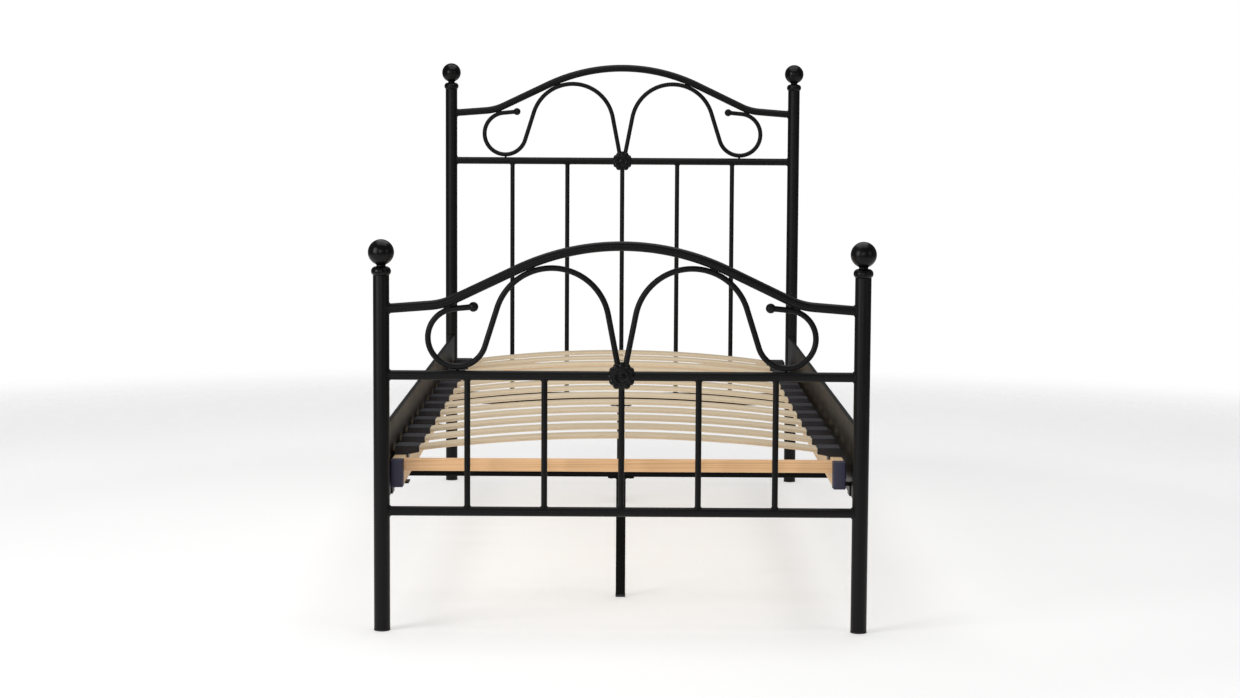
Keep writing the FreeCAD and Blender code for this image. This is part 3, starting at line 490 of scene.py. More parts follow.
def rounded_box(bm, low, high, radius, segments=3):
    """A box with every edge and corner rounded."""
    part = bmesh.new()
    loft(part, [[Vector((x, y, z)) for x, y in ((low.x, low.y), (high.x, low.y), (high.x, high.y),
                                               (low.x, high.y))] for z in (low.z, high.z)])
    bmesh.ops.bevel(part, geom=part.edges[:], offset=radius, segments=segments, profile=0.5,
                    affect="EDGES", clamp_overlap=True)
    merge(bm, part)


def show(node, bm, material, body):
    """Make a piece of a finished mesh, which stands for one CAD node."""
    bmesh.ops.recalc_face_normals(bm, faces=bm.faces)
    name = node + "_look"
    mesh = bpy.data.meshes.new(name)
    bm.to_mesh(mesh)
    bm.free()
    mesh.polygons.foreach_set("use_smooth", [True] * len(mesh.polygons))
    mesh.set_sharp_from_angle(angle=math.radians(SHARP_EDGE))
    mesh.materials.append(material)
    piece = bpy.data.objects.new(name, mesh)
    bpy.context.scene.collection.objects.link(piece)
    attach(piece, body)
    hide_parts(node)


def middle_of(node):
    """The middle of a CAD node's box."""
    low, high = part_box(node)
    return (low + high) / 2


# ---- the two boards

class Board:
    """One board's driving places, read from the CAD model."""

    def __init__(self, name):
        self.name = name
        self.upper = middle_of(name + "_upper_rail")
        self.lower = middle_of(name + "_lower_rail")
        low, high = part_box(name + "_upper_rail")
        self.rail_radius = (high.z - low.z) / 2
        self.posts = {side: middle_of(f"{name}_post_{side}") for side in ("left", "right")}
        low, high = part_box(name + "_post_left")
        self.post_radius = (high.x - low.x) / 2
        self.post_foot = low.z
        self.post_top = high.z

    def piece(self, what, bm, material, slot):
        """A piece that stands for one node of this board."""
        show(f"{self.name}_{what}", bm, material, "frame")


def add_post(board, side):
    """A long tube with its cut ends just broken."""
    bm = bmesh.new()
    foot = board.posts[side].copy()
    foot.z = board.post_foot
    edge = 0.7 * MM
    wall = 1.5 * MM
    height = board.post_top - board.post_foot
    profile = [(board.post_radius - wall, 0)]
    profile += arc_points((board.post_radius - edge, edge), edge, -90, 0, 4)
    profile += arc_points((board.post_radius - edge, height - edge), edge, 0, 90, 4)
    profile.append((board.post_radius - wall, height))
    lathe(bm, profile, foot, sides=TURNED_SIDES)
    board.piece("post_" + side, bm, STEEL, "coated_steel")


def add_finial(board, side):
    """A cast ball on a waisted neck and a fat bead."""
    bm = bmesh.new()
    base = board.posts[side].copy()
    base.z = board.post_top
    ball_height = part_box(f"{board.name}_finial_{side}")[1].z - board.post_top - BALL_RADIUS
    fillet = 2.2 * MM
    small_fillet = fillet * 0.8
    seat = -math.degrees(math.asin(BEAD_HEIGHT / BEAD_RADIUS))
    bead_end = 70
    bead_top = (BEAD_CENTRE + BEAD_RADIUS * math.cos(math.radians(bead_end)),
                BEAD_HEIGHT + BEAD_RADIUS * math.sin(math.radians(bead_end)))
    ball_start = -math.degrees(math.acos((NECK_RADIUS + fillet / 2) / BALL_RADIUS))
    profile = [(AXIS_GAP, 0)]
    profile += arc_points((BEAD_CENTRE, BEAD_HEIGHT), BEAD_RADIUS, seat, bead_end, 26)
    groove = 0.5 * MM
    neck_foot = bead_top[1] + groove
    profile += arc_points((NECK_RADIUS + small_fillet, neck_foot + fillet * 0.7), small_fillet,
                          250, 180, 5)
    ball_foot = ball_height + BALL_RADIUS * math.sin(math.radians(ball_start))
    profile.append((NECK_RADIUS, ball_foot - small_fillet))
    profile += arc_points((0, ball_height), BALL_RADIUS, ball_start, 89, 44)
    lathe(bm, profile, base, sides=TURNED_SIDES)
    board.piece("finial_" + side, bm, CASTING, "coated_casting")


def add_foot_cap(board, side):
    """A plastic foot with a chamfer below and a rolled rim."""
    bm = bmesh.new()
    low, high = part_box(f"{board.name}_foot_cap_{side}")
    radius = (high.x - low.x) / 2
    base = Vector((board.posts[side].x, board.posts[side].y, 0))
    rim = 0.8 * MM
    sole = 1.6 * MM
    profile = [(AXIS_GAP, 0), (radius - 1.5 * sole, 0)]
    profile += arc_points((radius - sole, sole), sole, -80, 0, 6)
    profile += arc_points((radius - rim, board.post_foot - rim), rim, 0, 90, 5)
    profile.append((board.post_radius - SHEET, board.post_foot))
    lathe(bm, profile, base, sides=TUBE_SIDES)
    board.piece("foot_cap_" + side, bm, BLACK_PLASTIC, "black_plastic")


def add_rail(board, what, height):
    """A straight tube between the posts, coped and welded all round at both ends."""
    bm = bmesh.new()
    centre = Vector((0, board.upper.y, height))
    ends = []
    for side, heading in (("left", -ACROSS), ("right", ACROSS)):
        for count in (TUBE_SIDES, WELD_CURVE_SIDES):
            ends.append(joint_ring(centre, heading, ALONG, UP, board.rail_radius, board.posts[side],
                                   UP, board.post_radius, count))
        weld_bead(bm, ends[-1], centre)
    loft(bm, [ends[0], ends[2]])
    board.piece(what, bm, STEEL, "coated_steel")


def arch_stations():
    """The arch's centreline between the two easing bends, from left to right."""
    half = math.radians(ARCH_HALF_ANGLE)
    slope = math.radians(SHOULDER_SLOPE)
    ease = ARCH_HALF_ANGLE - SHOULDER_SLOPE
    reach = (ARCH_RADIUS * math.sin(half) + ARCH_FLANK * math.cos(half)
             + SHOULDER_RADIUS * (math.sin(half) - math.sin(slope)))
    drop = (ARCH_RADIUS * (1 - math.cos(half)) + ARCH_FLANK * math.sin(half)
            + SHOULDER_RADIUS * (math.cos(slope) - math.cos(half)))
    steps = [("left", SHOULDER_RADIUS, ease), ("straight", ARCH_FLANK),
             ("right", ARCH_RADIUS, 2 * ARCH_HALF_ANGLE), ("straight", ARCH_FLANK),
             ("left", SHOULDER_RADIUS, ease)]
    return bends((-reach, ARCH_RISE - drop), SHOULDER_SLOPE, steps, turn_step=1.5)


def add_arch(board):
    """The bent top tube, welded all round to both posts."""
    bm = bmesh.new()
    stations = arch_stations()
    rings = bent_rings(stations, board.upper, board.rail_radius, TUBE_SIDES)
    ends = []
    for side, (point, angle), way in (("left", stations[0], -1), ("right", stations[-1], 1)):
        start = board.upper + Vector((point.x, 0, point.y))
        heading = Vector((math.cos(angle), 0, math.sin(angle))) * way
        normal = Vector((-math.sin(angle), 0, math.cos(angle)))
        for count in (TUBE_SIDES, WELD_CURVE_SIDES):
            ends.append(joint_ring(start, heading, normal, ALONG, board.rail_radius,
                                   board.posts[side], UP, board.post_radius, count))
        weld_bead(bm, ends[-1], start)
    loft(bm, [ends[0]] + rings + [ends[2]])
    board.piece("arch_rail", bm, STEEL, "coated_steel")


def add_spindles(board):
    """Thin uprights, welded all round to both rails."""
    bm = bmesh.new()
    low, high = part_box(board.name + "_spindles")
    radius = (high.y - low.y) / 2
    first = low.x + radius
    pitch = (high.x - low.x - 2 * radius) / (SPINDLES - 1)
    middle_height = (board.upper.z + board.lower.z) / 2
    for number in range(SPINDLES):
        centre = Vector((first + pitch * number, board.upper.y, middle_height))
        rings = []
        for heading, rail in ((-UP, board.lower), (UP, board.upper)):
            hub = Vector((centre.x, rail.y, rail.z))
            for count in (40, 120):
                rings.append(joint_ring(centre, heading, ACROSS, ALONG, radius, hub, ACROSS,
                                        board.rail_radius, count))
            under_rosette = number == SPINDLES // 2 and heading == UP
            if not under_rosette:
                weld_bead(bm, rings[-1], centre, radius=SPINDLE_WELD_RADIUS)
        loft(bm, [rings[0], rings[2]])
    board.piece("spindles", bm, STEEL, "coated_steel")


def add_scroll(board, side):
    """A bent rod with a ball tip, a weld under its loop and welds where it meets the arch."""
    bm = bmesh.new()
    mirrored = side == "left"
    way = -1 if mirrored else 1
    stations = bends((SCROLL_START, 0), 90 - SCROLL_LEAN, SCROLL_STEPS, turn_step=2)
    loft(bm, bent_rings(stations, board.upper, ROD_RADIUS, 40, mirrored))
    add_tip_ball(bm, board, stations[-1], way)
    half = len(stations) // 2
    lowest = min(stations[half:], key=lambda station: station[0].y)[0]
    add_loop_weld(bm, board, Vector((way * lowest.x, 0, lowest.y)))
    for run in (stations[:half], stations[half:]):
        add_arch_welds(bm, board, run, arch_stations(), way)
    board.piece("scroll_" + side, bm, STEEL, "coated_steel")


def add_tip_ball(bm, board, station, way):
    """The forged ball at the end of a rod, on a slight flare."""
    point, angle = station
    axis = Vector((way * math.cos(angle), 0, math.sin(angle)))
    centre = board.upper + Vector((way * point.x, 0, point.y))
    join = 142
    flare = 7 * MM
    flare_steps = 6
    ball_steps = 28
    neck = TIP_BALL_RADIUS * math.cos(math.radians(180 - join))
    waist = TIP_BALL_RADIUS * math.sin(math.radians(180 - join))
    profile = [(ROD_RADIUS * 0.98, -neck - flare), (ROD_RADIUS, -neck - flare)]
    for number in range(1, flare_steps):
        part = number / flare_steps
        profile.append((ROD_RADIUS + (waist - ROD_RADIUS) * part ** 2, -neck - flare * (1 - part)))
    for number in range(ball_steps + 1):
        turn = math.radians(join - (join - 1) * number / ball_steps)
        profile.append((TIP_BALL_RADIUS * math.sin(turn), TIP_BALL_RADIUS * math.cos(turn)))
    lathe(bm, profile, centre, axis, sides=48)


def add_loop_weld(bm, board, lowest):
    """A waisted blob of weld between the loop's lowest point and the rail."""
    sunk_in_rail = 0.7 * MM
    sunk_in_rod = 0.9 * MM
    low = board.rail_radius - sunk_in_rail
    high = lowest.z - ROD_RADIUS + sunk_in_rod
    base = board.upper + Vector((lowest.x, 0, 0))
    waist = 2.6 * MM
    spread = 2.1 * MM
    steps = 8
    profile = []
    for number in range(steps + 1):
        part = number / steps
        profile.append((waist + spread * (2 * part - 1) ** 2, low + (high - low) * part))
    lathe(bm, profile, base, sides=32)


def add_arch_welds(bm, board, run, arch, way):
    """Short beads in the crease on both sides of the arch where the rod touches it."""
    pairs = [(rod[0], tube) for rod in run for tube in arch]
    nearest = min(pairs, key=lambda pair: (pair[0] - pair[1][0]).length)
    rod_point, (arch_point, angle) = nearest
    touch = rod_point.lerp(arch_point, ROD_RADIUS / (ROD_RADIUS + board.rail_radius))
    along = Vector((math.cos(angle), math.sin(angle)))
    half_length = 8 * MM
    off_middle = 3.4 * MM
    for face in (-1, 1):
        ends = []
        for end in (-1, 1):
            place = touch + along * half_length * end
            ends.append(board.upper + Vector((way * place.x, face * off_middle, place.y)))
        seam_weld(bm, ends[0], ends[1], ARCH_WELD_RADIUS)


def rosette_reach(angle):
    """How far the flower's scalloped rim reaches at an angle."""
    sector = 2 * math.pi / PETALS
    off = (angle + sector / 2) % sector - sector / 2
    aside = PETAL_CENTRE * math.sin(off)
    return PETAL_CENTRE * math.cos(off) + math.sqrt(PETAL_RADIUS ** 2 - aside ** 2)


def bump_at(x, centre, half_width):
    """A smooth hump of height one."""
    part = abs(x - centre) / half_width
    return math.cos(part * math.pi / 2) ** 2 if part < 1 else 0.0


def rosette_depth(radius, angle, reach):
    """The face's height over the board's plane: a dimpled button, a bowl, a fluted ring and petals."""
    petal = math.cos(PETALS * angle) * 0.5 + 0.5
    button = BUTTON_RISE * math.sqrt(max(0.0, 1 - (radius / BUTTON_RADIUS) ** 2))
    dimple = DIMPLE_DEPTH * math.exp(-(radius / DIMPLE_RADIUS) ** 2)
    bowl = BOWL_DEPTH * bump_at(radius, BOWL_RADIUS, BOWL_WIDTH)
    rim = RIM_RISE * bump_at(radius, RIM_RADIUS, RIM_WIDTH)
    ripple = 0.5 - 0.5 * math.cos(2 * PETALS * angle)
    flute = FLUTE_DEPTH * bump_at(radius, FLUTE_RADIUS, FLUTE_WIDTH) * ripple
    out = max(0.0, (radius - PETAL_START) / (reach - PETAL_START))
    fall = PETAL_FALL * out ** 3.5
    valley = PETAL_VALLEY * (1 - petal) * math.sin(min(1.0, out * 1.2) * math.pi / 2)
    groove = GROOVE_DEPTH * bump_at(radius, GROOVE_RADIUS, GROOVE_WIDTH)
    return FACE_HEIGHT + button - dimple - bowl + rim - flute - fall - valley - groove


def add_rosette(board, face):
    """One half of the cast flower, with rounded petals round a fluted ring and a button."""
    bm = bmesh.new()
    node = f"rosette_{face}"
    way = 1 if middle_of(f"{board.name}_{node}").y > board.upper.y else -1
    sides = 12 * PETALS
    back = 0.05 * MM
    rays = [(angle, rosette_reach(angle)) for angle in circle_angles(sides)]

    def place(radius, angle, depth):
        return board.upper + Vector((radius * math.sin(angle), way * depth, radius * math.cos(angle)))

    rings = []
    for number in range(ROSETTE_STEPS + 1):
        part = max(0.004, number / ROSETTE_STEPS)
        rings.append([place(part * reach, angle, rosette_depth(part * reach, angle, reach))
                      for angle, reach in rays])
    rim_back = [place(reach, angle, back) for angle, reach in rays]
    loft(bm, rings + [rim_back])
    board.piece(node, bm, CASTING, "coated_casting")


def add_board(name):
    """Every piece of one board."""
    board = Board(name)
    for side in ("left", "right"):
        add_post(board, side)
        add_finial(board, side)
        add_foot_cap(board, side)
        add_scroll(board, side)
    add_rail(board, "upper_rail", board.upper.z)
    add_rail(board, "lower_rail", board.lower.z)
    add_arch(board)
    add_spindles(board)
    for face in ("front", "back"):
        add_rosette(board, face)


# ---- what joins the boards

def hexagon_reach(angle, across_flats):
    """The polar radius of a hexagon."""
    sector = math.pi / 3
    return across_flats / 2 / math.cos((angle + sector / 2) % sector - sector / 2)


def bolt_head(bm, base, axis, across_flats, height):
    """A chamfered hexagon head on a washer face."""
    across = axis.orthogonal().normalized()
    up = axis.cross(across)
    washer = across_flats * 0.48
    washer_height = 0.5 * MM
    corner = across_flats / 2 / math.cos(math.pi / 6)
    chamfer = 0.9 * MM
    crown_drop = 0.35 * MM
    levels = [(0, washer), (washer_height, washer), (washer_height, corner),
              (height - chamfer, corner), (height - crown_drop, across_flats * 0.53),
              (height, across_flats * 0.47)]
    rings = []
    for level, limit in levels:
        rings.append([base + axis * level + (across * math.cos(a) + up * math.sin(a))
                      * min(limit, hexagon_reach(a, across_flats)) for a in circle_angles(60)])
    loft(bm, rings)


def screw_head(bm, base, axis, radius, height):
    """A low round head with a star-shaped recess."""
    across = axis.orthogonal().normalized()
    up = axis.cross(across)
    sides = 48
    steps = 8
    flatness = 0.72
    lobes = 6
    lobe_reach = 0.16
    recess_mouth = (height, 0.42)
    recess_floor = (height * 0.35, 0.38)
    rings = []
    for number in range(steps):
        turn = math.radians(90 * number / steps)
        place = base + axis * height * math.sin(turn)
        rings.append(ring(place, across, up, radius * math.cos(turn * flatness), sides))
    for level, size in (recess_mouth, recess_floor):
        points = []
        for a in circle_angles(sides):
            star = radius * size * (1 + lobe_reach * math.cos(lobes * a))
            points.append(base + axis * level + (across * math.cos(a) + up * math.sin(a)) * star)
        rings.append(points)
    loft(bm, rings)


def add_side_rail(side):
    """A pressed sheet rail with rounded folds, and the folded flange at each end."""
    bm = bmesh.new()
    node = "side_rail_" + side
    low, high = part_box(node)
    way = 1 if side == "right" else -1
    inside = low.x if side == "right" else high.x
    flange = high.x - low.x
    hem = 8 * MM
    outside = 2.6 * MM
    inner = 0.8 * MM
    lip = 0.9 * MM
    depth = high.z - low.z
    corners = [(0, 0), (hem, 0), (hem, SHEET), (SHEET, SHEET), (SHEET, depth - SHEET),
               (hem, depth - SHEET), (hem, depth), (0, depth)]
    section = rounded(corners, [outside, lip, lip, inner, inner, lip, lip, outside], steps=6)
    outline = [(inside + way * x, low.z + z) for x, z in section]
    prism(bm, outline, low.y + SHEET / 2, high.y - SHEET / 2)
    for start in (low.y, high.y - SHEET):
        corner = Vector((min(inside, inside + way * flange), start, low.z))
        rounded_box(bm, corner, corner + Vector((flange, SHEET, depth)), inner)
    show(node, bm, STEEL, "frame")


def add_corner_bolts():
    """Eight hexagon bolts, their heads against the flanges of the side rails."""
    bm = bmesh.new()
    rail_low, rail_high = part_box("side_rail_left")
    head = 13 * MM
    head_height = 5.3 * MM
    shank = 3.9 * MM
    shank_length = 10 * MM
    shank_profile = [(AXIS_GAP, 0), (shank, 0), (shank, shank_length), (AXIS_GAP, shank_length)]
    for across in (-1, 1):
        x = across * middle_of("foot_post_right").x
        for along in (-1, 1):
            y = along * (rail_high.y - SHEET)
            for z in (rail_low.z + BOLT_EDGE, rail_high.z - BOLT_EDGE):
                base = Vector((x, y, z))
                bolt_head(bm, base, Vector((0, -along, 0)), head, head_height)
                lathe(bm, shank_profile, base, Vector((0, along, 0)), sides=32)
    show("corner_bolts", bm, ZINC, "frame")


def add_ledge_tabs():
    """Six small folded angles, welded down both ends to the side rails."""
    bm = bmesh.new()
    low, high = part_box("ledge_tabs")
    inside = high.x
    reach = 35 * MM
    thick = 3 * MM
    length = 40 * MM
    fold = 2.5 * MM
    edge = 0.9 * MM
    inset = 1 * MM
    corners = [(inside, low.z), (inside, high.z), (inside - reach, high.z),
               (inside - reach, high.z - thick), (inside - thick, high.z - thick),
               (inside - thick, low.z)]
    inner_fold = 1.2 * MM
    foot = 0.4 * MM
    section = rounded(corners, [foot, fold, edge, edge, inner_fold, edge])
    for way in (-1, 1):
        outline = [(way * x, z) for x, z in section]
        for number in range(TABS):
            start = low.y + number * (high.y - low.y - length) / (TABS - 1)
            prism(bm, outline, start, start + length)
            x = way * (inside - inset)
            for end in (start + inset, start + length - inset):
                seam_weld(bm, Vector((x, end, low.z + inset)), Vector((x, end, high.z - 2 * inset)),
                          TAB_WELD_RADIUS)
    show("ledge_tabs", bm, STEEL, "frame")


def add_bar(node, axis, edge, steps, material, body):
    """A straight bar or closed tube along an axis, with rounded edges."""
    bm = bmesh.new()
    low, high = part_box(node)
    centre = (low + high) / 2
    along, wide = (0, 1) if axis == "X" else (1, 0)
    section = rectangle(high[wide] - low[wide], high.z - low.z, centre[wide], centre.z)
    prism(bm, rounded(section, edge, steps=steps), low[along], high[along], axis=axis)
    show(node, bm, material, body)


def add_centre_leg(name):
    """A square tube leg welded all round to its top plate."""
    bm = bmesh.new()
    node = "centre_leg_" + name
    low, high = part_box(node)
    centre = (low + high) / 2
    size = 20 * MM
    corner = 2.2 * MM
    plate = 3 * MM
    plate_corner = 4 * MM
    plate_edge = 0.5 * MM
    top = high.z - plate
    outline = rounded(rectangle(size, size, centre.x, centre.y), corner, steps=6)
    prism(bm, outline, low.z, top + plate / 2, axis="Z")
    plate_outline = rectangle(high.x - low.x, high.y - low.y, centre.x, centre.y)
    prism(bm, rounded(plate_outline, plate_corner, steps=6), top, high.z, axis="Z", ease=plate_edge)
    path = []
    weld_step = 0.7 * MM
    for a, b in zip(outline, outline[1:] + outline[:1]):
        steps = max(1, round((b - a).length / weld_step))
        path += [a.lerp(b, step / steps) for step in range(steps)]
    path = [Vector((point.x, point.y, top)) for point in path]
    weld_bead(bm, path, Vector((centre.x, centre.y, top)))
    show(node, bm, MATT_STEEL_PAINTED_SHADE, "frame")


def add_leg_glides():
    """A plastic glide under each centre leg, with a softened sole."""
    bm = bmesh.new()
    low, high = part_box("leg_glides")
    size = high.x - low.x
    height = 5 * MM
    corner = 2.8 * MM
    sole_edge = 1.1 * MM
    for name in ("foot", "head"):
        y = middle_of("centre_leg_" + name).y
        outline = rounded(rectangle(size, size, 0, y), corner, steps=6)
        prism(bm, outline, low.z, height, axis="Z", ease=sole_edge)
    show("leg_glides", bm, BLACK_PLASTIC, "frame")


def add_bar_bolts():
    """Hexagon heads outside the side rails, one at each end of each cross bar."""
    bm = bmesh.new()
    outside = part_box("bar_bolts")[1].x
    head = 10 * MM
    head_height = 4 * MM
    for way in (-1, 1):
        for name in ("foot", "head"):
            bar = middle_of("cross_bar_" + name)
            base = Vector((way * (outside - head_height), bar.y, bar.z))
            bolt_head(bm, base, Vector((way, 0, 0)), head, head_height)
    show("bar_bolts", bm, ZINC, "frame")


def add_leg_screws():
    """Two round screw heads under each leg's plate."""
    bm = bmesh.new()
    low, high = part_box("leg_screws")
    head_height = 2.4 * MM
    head_radius = 4 * MM
    for across in (low.x, high.x):
        x = across - math.copysign(head_radius, across)
        for name in ("foot", "head"):
            base = Vector((x, middle_of("centre_leg_" + name).y, low.z + head_height))
            screw_head(bm, base, -UP, head_radius, head_height)
    show("leg_screws", bm, ZINC, "frame")


# ---- the slat base

def add_rail_end_caps():
    """A soft-cornered plastic cap over each end of each rail, with a rolled mouth."""
    bm = bmesh.new()
    low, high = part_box("rail_end_caps")
    depth = 26 * MM
    mouth = 2.4 * MM
    mouth_edge = 1.1 * MM
    body_edge = 2.6 * MM
    shrink = Vector((0.3, 0, 0.3)) * MM
    for side in ("left", "right"):
        rail_low, rail_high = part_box("slat_rail_" + side)
        for along in (-1, 1):
            end = high.y if along > 0 else low.y
            start = end - along * depth
            first, last = sorted((start, end))
            corner = Vector((rail_low.x - CAP_WALL, first, low.z))
            far = Vector((rail_high.x + CAP_WALL, last, high.z))
            rounded_box(bm, corner + shrink, far - shrink, body_edge, segments=5)
            first, last = sorted((start, start + along * mouth))
            rounded_box(bm, Vector((corner.x, first, corner.z)), Vector((far.x, last, far.z)),
                        mouth_edge)
    show("rail_end_caps", bm, CAP_PLASTIC, "slat_base")


def add_crossmember_screws():
    """The heads of the screws that hold the cross members."""
    bm = bmesh.new()
    low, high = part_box("crossmember_screws")
    head_height = 1.3 * MM
    head_radius = 4.2 * MM
    for way, face in ((-1, low.x), (1, high.x)):
        for name in ("foot", "head"):
            member = middle_of("slat_crossmember_" + name)
            base = Vector((face - way * head_height, member.y, member.z))
            screw_head(bm, base, Vector((way, 0, 0)), head_radius, head_height)
    show("crossmember_screws", bm, ZINC, "slat_base")


def add_slat(number):
    """A bowed strip with rounded long edges."""
    bm = bmesh.new()
    node = "slat_%02d" % number
    low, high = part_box(node)
    half_width = (high.y - low.y) / 2
    y = (high.y + low.y) / 2
    half_span = (high.x - low.x) / 2 * SLAT_RADIUS / (SLAT_RADIUS + SLAT_THICKNESS)
    half_turn = math.asin(half_span / SLAT_RADIUS)
    middle = SLAT_THICKNESS / 2
    edge = 2.0 * MM
    section = rounded(rectangle(2 * half_width, SLAT_THICKNESS, 0, middle), edge, steps=5)
    steps = 48
    full = 0.997
    # each station is a part of the half span, and the size of the section there
    ends = [(-1.0, 0.94), (-0.9985, 0.985)]
    stations = ends + [(-full + 2 * full * n / steps, 1.0) for n in range(steps + 1)]
    stations += [(-part, size) for part, size in reversed(ends)]
    rings = []
    for part, size in stations:
        turn = part * half_turn
        radial = Vector((math.sin(turn), 0, math.cos(turn)))
        points = []
        for a, b in section:
            lift = middle + (b - middle) * size
            points.append(BOW_CENTRE + Vector((0, y + a * size, 0)) + radial * (SLAT_RADIUS + lift))
        rings.append(points)
    loft(bm, rings)
    show(node, bm, SLAT_WOOD, "slat_base")


def add_slat_holders():
    """A plastic pocket for each end of each slat, with a raised lip, a hook leg and a stub."""
    bm = bmesh.new()
    low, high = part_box("slat_holders")
    centre_x = (low.x + high.x) / 2
    outside = (high.x - low.x) / 2
    rail_low, rail_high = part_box("slat_rail_right")
    rail_outside = rail_high.x - centre_x
    inner_edge = rail_low.x - centre_x
    mouth = rail_outside - HOLDER_REACH
    top = high.z - rail_high.z
    leg = rail_high.z - low.z
    floor = rail_high.z
    wall = 2.3 * MM
    lip_width = 2.6 * MM
    lip_step = 0.35 * MM
    hook_width = 3 * MM
    hook_half = 20 * MM
    stub_half = 8 * MM
    stub_start = mouth + 9 * MM
    stub_end = mouth + 14 * MM
    body = rounded([(outside, 0), (inner_edge, 0), (mouth, HOLDER_LIFT), (mouth, top),
                    (outside - 2 * MM, top), (outside, top - 2 * MM)],
                   [0.6 * MM, 3 * MM, 1.2 * MM, 1.6 * MM, 2.0 * MM, 1.6 * MM])
    step = inner_edge - RAIL_CLEARANCE
    hook_corners = [(step, -leg), (step - hook_width, 1 * MM - leg),
                    (step - hook_width, HOLDER_LIFT / 2), (step, HOLDER_LIFT / 2)]
    hook = rounded(hook_corners, [0.5 * MM, 1 * MM, 0.5 * MM, 0.5 * MM])
    stub = rounded([(stub_start, HOLDER_LIFT * 0.2), (stub_end, HOLDER_LIFT * 0.2),
                    (stub_end, HOLDER_LIFT), (stub_start, HOLDER_LIFT)], 0.8 * MM)
    lip = rounded([(mouth, HOLDER_LIFT), (mouth, top), (mouth + lip_width, top),
                   (mouth + lip_width, HOLDER_LIFT - 0.3 * MM)], 0.9 * MM)
    for number in range(SLATS):
        slat_low, slat_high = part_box("slat_%02d" % (number + 1))
        y = (slat_low.y + slat_high.y) / 2
        half = (slat_high.y - slat_low.y) / 2 + wall
        for way in (-1, 1):
            for outline, width, ease in ((body, half - lip_step, 1.4 * MM), (lip, half, 0.9 * MM),
                                         (hook, hook_half, 0.8 * MM), (stub, stub_half, 0.6 * MM)):
                placed = [(centre_x + way * x, floor + z) for x, z in outline]
                prism(bm, placed, y - width, y + width, ease=ease)
    show("slat_holders", bm, HOLDER_PLASTIC, "slat_base")


# ---- materials and build

first_low, first_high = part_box("slat_01")
crown_under = Vector(((first_low.x + first_high.x) / 2, 0, first_high.z - SLAT_THICKNESS))
BOW_CENTRE = crown_under - UP * SLAT_RADIUS

STEEL = powder_coat("powder_coat", (0.0024, 0.0024, 0.0026), (0.0042, 0.0042, 0.0044), 0.38, 0.46,
                    peel=0.2, shine=0.17)
CASTING = powder_coat("powder_coat_cast", (0.0020, 0.0020, 0.0022), (0.0036, 0.0036, 0.0038),
                      0.22, 0.30, peel=0.15, shine=0.18)
# a matt copy of the coat for the cross bars and centre legs: rougher and less shiny, with its base
# colour painted darker as the shade that the mattress casts on them
MATT_STEEL_PAINTED_SHADE = powder_coat("powder_coat_matt_painted_shade", (0.0018, 0.0017, 0.0017), (0.0030, 0.0029, 0.0029),
                         0.5, 0.6, peel=0.3, shine=0.10)
BLACK_PLASTIC = moulded("black_plastic", (0.009, 0.009, 0.0095), (0.014, 0.014, 0.015), 0.5, 0.62, 0.35)
CAP_PLASTIC = moulded("navy_cap_plastic", (0.017, 0.015, 0.042), (0.024, 0.021, 0.054), 0.45, 0.58, 0.3)
HOLDER_PLASTIC = moulded("navy_holder_plastic", (0.006, 0.005, 0.010), (0.010, 0.009, 0.015),
                         0.40, 0.52, 0.22)
ZINC = zinc("zinc_plate")
RAIL_WOOD = softwood("rail_softwood", 1, (0.84, 0.62, 0.39), (0.79, 0.55, 0.31), (0.62, 0.39, 0.20))
CROSS_WOOD = softwood("crossmember_softwood", 0, (0.94, 0.59, 0.315), (0.89, 0.53, 0.265),
                      (0.70, 0.39, 0.17))
SLAT_WOOD = laminate("birch_laminate", crown_under, (0.83, 0.70, 0.51), (0.72, 0.56, 0.36),
                     (0.30, 0.20, 0.11))

for board_name in ("foot", "head"):
    add_board(board_name)
    add_bar("cross_bar_" + board_name, "X", 2.6 * MM, 6, MATT_STEEL_PAINTED_SHADE, "frame")
    add_centre_leg(board_name)
    add_bar("slat_crossmember_" + board_name, "X", 1.6 * MM, 5, CROSS_WOOD, "slat_base")
for rail_side in ("left", "right"):
    add_side_rail(rail_side)
    add_bar("slat_rail_" + rail_side, "Y", 1.8 * MM, 5, RAIL_WOOD, "slat_base")
add_corner_bolts()
add_ledge_tabs()
add_leg_glides()
add_bar_bolts()
add_leg_screws()
add_rail_end_caps()
add_crossmember_screws()
add_slat_holders()
for slat_number in range(SLATS):
    add_slat(slat_number + 1)

# the hidden saddle plates keep their CAD shape
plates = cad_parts["post_plates"]
for slot_number in range(len(plates.material_slots)):
    plates.material_slots[slot_number].material = STEEL


# ---- floor, light and camera

def add_floor():
    """A pale floor that fades out before its edge."""
    bm = bmesh.new()
    radius = 9
    under = Vector((0, 0, -0.02))
    loft(bm, [ring(place, ACROSS, ALONG, radius, 96) for place in (under, Vector())])
    mesh = bpy.data.meshes.new("floor")
    bm.to_mesh(mesh)
    bm.free()
    graph = Graph("pale_floor")
    distance = graph.add("VectorMath", {0: graph.place}, operation="LENGTH").outputs["Value"]
    fade_start = 1.7
    fade_end = 4.2
    fade = graph.spread(distance, 1, 0, fade_start, fade_end)
    wash = graph.noise(1.3, detail=3)
    mesh.materials.append(graph.finish(
        Base_Color=graph.ramp(wash, (0.3, (0.80, 0.80, 0.80)), (0.7, (0.82, 0.82, 0.82))),
        Roughness=0.8, Alpha=fade, Emission_Color=(1, 1, 1, 1), Emission_Strength=0.37))
    floor = bpy.data.objects.new("floor", mesh)
    bpy.context.scene.collection.objects.link(floor)


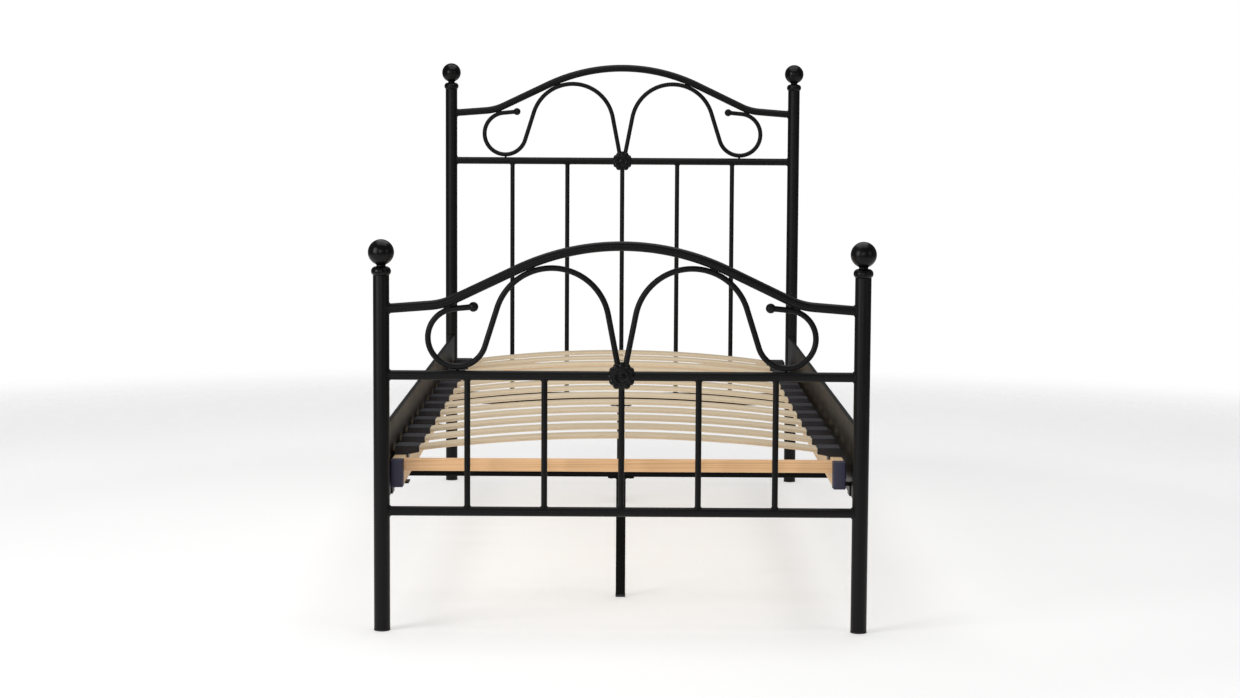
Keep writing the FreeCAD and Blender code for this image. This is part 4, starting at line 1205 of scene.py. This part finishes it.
def add_light(name, place, target, width, height, power):
    """A soft rectangular light aimed at a point."""
    data = bpy.data.lights.new(name, "AREA")
    data.shape = "RECTANGLE"
    data.size = width
    data.size_y = height
    data.energy = power
    light = bpy.data.objects.new(name, data)
    light.location = place
    light.rotation_euler = (Vector(target) - Vector(place)).to_track_quat("-Z", "Y").to_euler()
    bpy.context.scene.collection.objects.link(light)


def add_world():
    """White to the camera, and a dimmer even light on everything else."""
    room_strength = 0.16
    seen_strength = 1.0
    world = bpy.data.worlds.new("studio")
    bpy.context.scene.world = world
    world.use_nodes = True
    tree = world.node_tree
    tree.nodes.clear()
    output = tree.nodes.new("ShaderNodeOutputWorld")
    mix = tree.nodes.new("ShaderNodeMixShader")
    path = tree.nodes.new("ShaderNodeLightPath")
    room = tree.nodes.new("ShaderNodeBackground")
    seen = tree.nodes.new("ShaderNodeBackground")
    for background, strength in ((room, room_strength), (seen, seen_strength)):
        background.inputs["Color"].default_value = (1, 1, 1, 1)
        background.inputs["Strength"].default_value = strength
    tree.links.new(path.outputs["Is Camera Ray"], mix.inputs["Fac"])
    tree.links.new(room.outputs["Background"], mix.inputs[1])
    tree.links.new(seen.outputs["Background"], mix.inputs[2])
    tree.links.new(mix.outputs["Shader"], output.inputs["Surface"])


def add_camera():
    """The camera stands before the footboard, a little above the finials of the foot posts."""
    data = bpy.data.cameras.new("camera")
    data.sensor_width = 36
    data.lens = 73.15
    camera = bpy.data.objects.new("camera", data)
    tilt_down = 0.0933
    roll = 0.0055
    look = Matrix.Rotation(math.pi / 2 - tilt_down, 3, "X") @ Matrix.Rotation(roll, 3, "Z")
    camera.rotation_euler = look.to_euler()
    camera.location = (-0.0036, -5.9259, 1.0184)
    bpy.context.scene.collection.objects.link(camera)
    bpy.context.scene.camera = camera


add_floor()
add_world()
add_light("key", (-3.4, -3.4, 1.8), (0, 0, 0.5), 2.0, 2.6, 90)
add_light("front", (-0.6, -6.4, 1.9), (0, 0, 0.4), 2.6, 1.6, 45)
add_light("fill", (3.6, -3.4, 1.6), (0, 0, 0.5), 1.2, 2.0, 12)
add_light("top", (0, 0.2, 3.8), (0, 0, 0), 3.6, 4.4, 95)
add_camera()
bpy.context.scene.view_settings.view_transform = "Standard"
